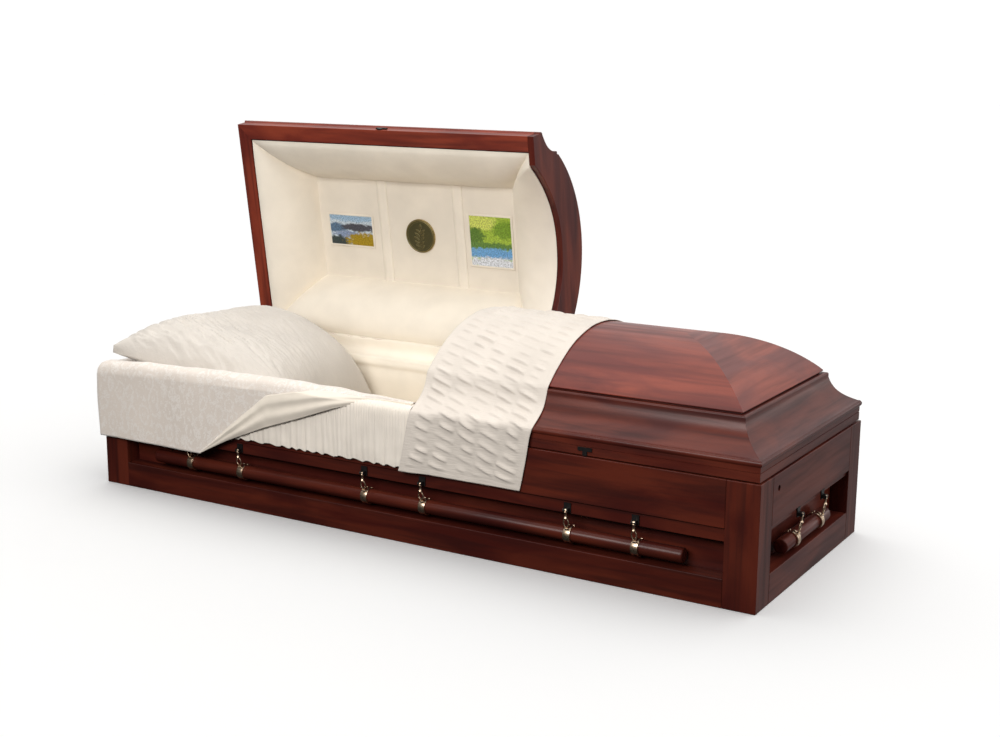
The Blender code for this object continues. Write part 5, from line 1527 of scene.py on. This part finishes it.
# The folded-back corner, with soft folds that gather towards its foot end
free_edge = [(-0.662, 0.1525), (-0.551, 0.243), (-0.405, 0.356), (-0.331, 0.373), (-0.250, 0.388),
             (-0.172, 0.3935), (-0.049, 0.396), (0.018, 0.3965), (0.066, 0.3965)]
fold_line = [(-0.662, 0.1505), (-0.624, 0.170), (-0.553, 0.205), (-0.416, 0.261), (-0.292, 0.304),
             (-0.172, 0.349), (-0.110, 0.370), (-0.049, 0.388), (0.066, 0.392)]
rows = []
for v in np.linspace(0.0, 1.0, 30):
    row = []
    for u in np.linspace(0.0, 1.0, 170):
        x = -0.662 + 0.728 * u
        back_on = drawn_in(x)
        low, high = follow(fold_line, x) - SINK * back_on, follow(free_edge, x) - SINK * back_on
        z = low + (high - low) * v
        spread = max(high - low, 0.002)
        curl = math.sin(math.pi * min(v * 2.6, 1.0) * 0.5)
        ridge = math.sin(2 * math.pi * (v * 1.6 + 0.25 * wavy(x, 0, scale=5.0, seed=1.0)))
        out = 0.0016 + 0.0060 * curl * min(1.0, spread / 0.05)
        out += 0.0024 * ridge * min(1.0, spread / 0.06) * math.sin(math.pi * v)
        out += 0.0012 * wavy(x, z, scale=30.0, seed=3.0) * min(1.0, spread / 0.04)
        back = 0.0045 * max(0.0, v - 0.72) / 0.28
        y = THROW_FACE_Y - out + back + back_on
        rim = follow(TOP_LINE, x) - 0.020
        if z > rim:
            y += 0.9 * (z - rim) * (1 - back_on / 0.036)
        row.append((x, y, z))
    rows.append(row)
mesh = thicken(grid_mesh("throw_fold", rows), 0.0012, offset=0.0)
fold = add_piece("throw_fold", mesh, [satin], "casket_body", (), sharp=0)
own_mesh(fold)


# Quilted runner over the foot lid: crepe ruched into five columns of slanting puckers, with plain
# turned hems. It hangs in front of the body and lies over the crown.

RUNNER_X = (0.0735, 0.442)
RUNNER_HEM = 0.205
RUNNER_BACK_Y = 0.150
RUNNER_OFFSET = 0.0045
RUNNER_HEM_WIDTH = 0.016
RUNNER_COLUMNS = 5
PUCKER_PITCH = 0.030
PUCKER_HEIGHT = 0.0062

line = [(-(HALF_WIDTH + 0.0065), RUNNER_HEM), (-(HALF_WIDTH + 0.0065), 0.290),
        (-(HALF_WIDTH + 0.0062), LID_BASE + NOSE_BOTTOM + NOSE_RADIUS - 0.004),
        (-(HALF_WIDTH + 0.0050), LID_BASE + NOSE_BOTTOM + NOSE_RADIUS + 0.006)]
for inwards, upwards in [p for p in nose_and_cove(18) if p[1] > COVE[0][1] + 0.001]:
    line.append((-(HALF_WIDTH - inwards) - 0.0026, LID_BASE + upwards + 0.0036))
line = [p for p in line if p[1] < LID_BASE + LIP_TOP - 0.004]
line.append((-(HALF_WIDTH - 0.0765), LID_BASE + LIP_TOP + 0.0050))
for inwards, upwards in crown_arc(-RUNNER_OFFSET, 30)[1:]:
    line.append((-(HALF_WIDTH - inwards), LID_BASE + upwards))
line += [(-y, z) for y, z in reversed(line[:-1]) if -y < RUNNER_BACK_Y]
points = np.array(line)
lengths = np.concatenate([[0.0], np.cumsum(np.linalg.norm(np.diff(points, axis=0), axis=1))])
total = lengths[-1]
stations = np.linspace(0.0, total, 290)
smooth = np.stack([np.interp(stations, lengths, points[:, axis]) for axis in (0, 1)], axis=1)
for _ in range(10):
    smooth[1:-1] = 0.25 * smooth[:-2] + 0.5 * smooth[1:-1] + 0.25 * smooth[2:]
tangent = np.gradient(smooth, axis=0)
tangent /= np.linalg.norm(tangent, axis=1)[:, None]
width = RUNNER_X[1] - RUNNER_X[0]
column_width = (width - 2 * RUNNER_HEM_WIDTH) / RUNNER_COLUMNS


def pucker_height(x, s):
    """Slanting lens-shaped puckers, staggered from column to column, each with a sharp lower side."""
    across = (x - RUNNER_X[0] - RUNNER_HEM_WIDTH) / column_width
    column = min(max(int(across), 0), RUNNER_COLUMNS - 1)
    aside = (across - column - 0.5) * column_width
    phase = (s + 0.34 * aside) / PUCKER_PITCH + 0.5 * (column % 2) + 0.10 * column
    phase += 0.22 * wavy(x, s, scale=9.0, seed=1.0 + column)
    number = math.floor(phase)
    part = phase - number
    size = 0.70 + 0.9 * wavy(number * 7.31, column * 3.17, seed=4.0)
    shift = 0.010 * wavy(number * 3.9, column * 5.3, seed=8.0)
    reach = 0.037 * (0.85 + 0.5 * wavy(number * 2.3, column * 9.1, seed=5.0))
    lens = max(0.0, 1 - ((aside - shift) / reach) ** 2)
    rise = min(part / 0.13, 1.0)
    fall = max(0.0, 1 - max(0.0, part - 0.13) / 0.52)
    rise, fall = rise * rise * (3 - 2 * rise), fall * fall * (3 - 2 * fall)
    return PUCKER_HEIGHT * max(size, 0.25) * lens * rise * fall


rows = []
for (y, z), (ty, tz), s in zip(smooth, tangent, stations):
    normal = (-tz, ty)
    row = []
    # Below the nose the runner hangs askew, drawn towards the head end.
    hang = max(0.0, min(1.0, (0.375 - z) / 0.170))
    askew = -0.004 * min(1.0, hang * 6) - 0.029 * hang ** 1.3
    for x in np.linspace(*RUNNER_X, 160):
        inside = min(x - RUNNER_X[0], RUNNER_X[1] - x, s, total - s) - RUNNER_HEM_WIDTH
        field = max(0.0, min(1.0, inside / 0.010))
        out = field * pucker_height(x, s) + 0.0008 * wavy(x, s, scale=30.0, seed=3.0)
        out -= 0.0006 * math.exp(-((inside + 0.001) / 0.0016) ** 2)
        sway = 0.0012 * wavy(s, x, scale=10.0, seed=9.0)
        wave = 0.0030 * hang * max(0.0, wavy(x, 0, scale=8.0, seed=6.0))
        over_apron = 0.0105 * hang ** 0.35 * max(0.0, min(1.0, (0.165 - x) / 0.060)) if hang > 0 else 0.0
        row.append((x + sway + askew, y + normal[0] * out - wave - over_apron, z + normal[1] * out))
    rows.append(row)
runner_crepe = cloth("runner crepe", (0.67, 0.61, 0.545), threads=1500.0, crinkle=1.0,
                     crinkle_scale=(26.0, 190.0, 1.0), sheen=0.2, bump=0.75, depth=0.0016, uv=True)
mesh = thicken(grid_mesh("runner_quilt", rows), 0.0020, offset=-1.0)
runner = add_piece("runner_quilt", mesh, [runner_crepe], "foot_lid", ["foot_runner"], sharp=0)


# Cloth inside the foot lid: the lid's velvet, stretched plain under the dome from rail to rail.

inner = [(RAIL_SETBACK + RAIL_WIDTH + 0.003, 0.006), (RAIL_SETBACK + RAIL_WIDTH + 0.005, 0.040),
         (0.094, 0.074), (0.113, 0.108), (0.128, 0.140)]
inner += [(p[0], p[1]) for p in crown_arc(0.030, 30) if p[0] > 0.150]
outer_x, meeting_x = HALF_LENGTH, LID_MEETING["foot"] + HEADER_THICKNESS + 0.001
verts, faces, rows = [], [], []
for inwards, upwards in inner:
    y, z = HALF_WIDTH - inwards, LID_BASE + upwards
    first = len(verts)
    verts += [(meeting_x, -y, z), (outer_x - inwards, -y, z), (outer_x - inwards, y, z), (meeting_x, y, z)]
    rows.append(first)
for a, b in zip(rows, rows[1:]):
    faces += [(a + k, a + k + 1, b + k + 1, b + k) for k in range(3)]
mesh = mesh_of("foot_lid_cloth", verts, faces, merge=0.0001, outward=False)
mesh = thicken(mesh, 0.0015, offset=0.0)
inner_cloth = add_piece("foot_lid_cloth", mesh, [velvet_painted_lighter], "foot_lid", (), sharp=30)
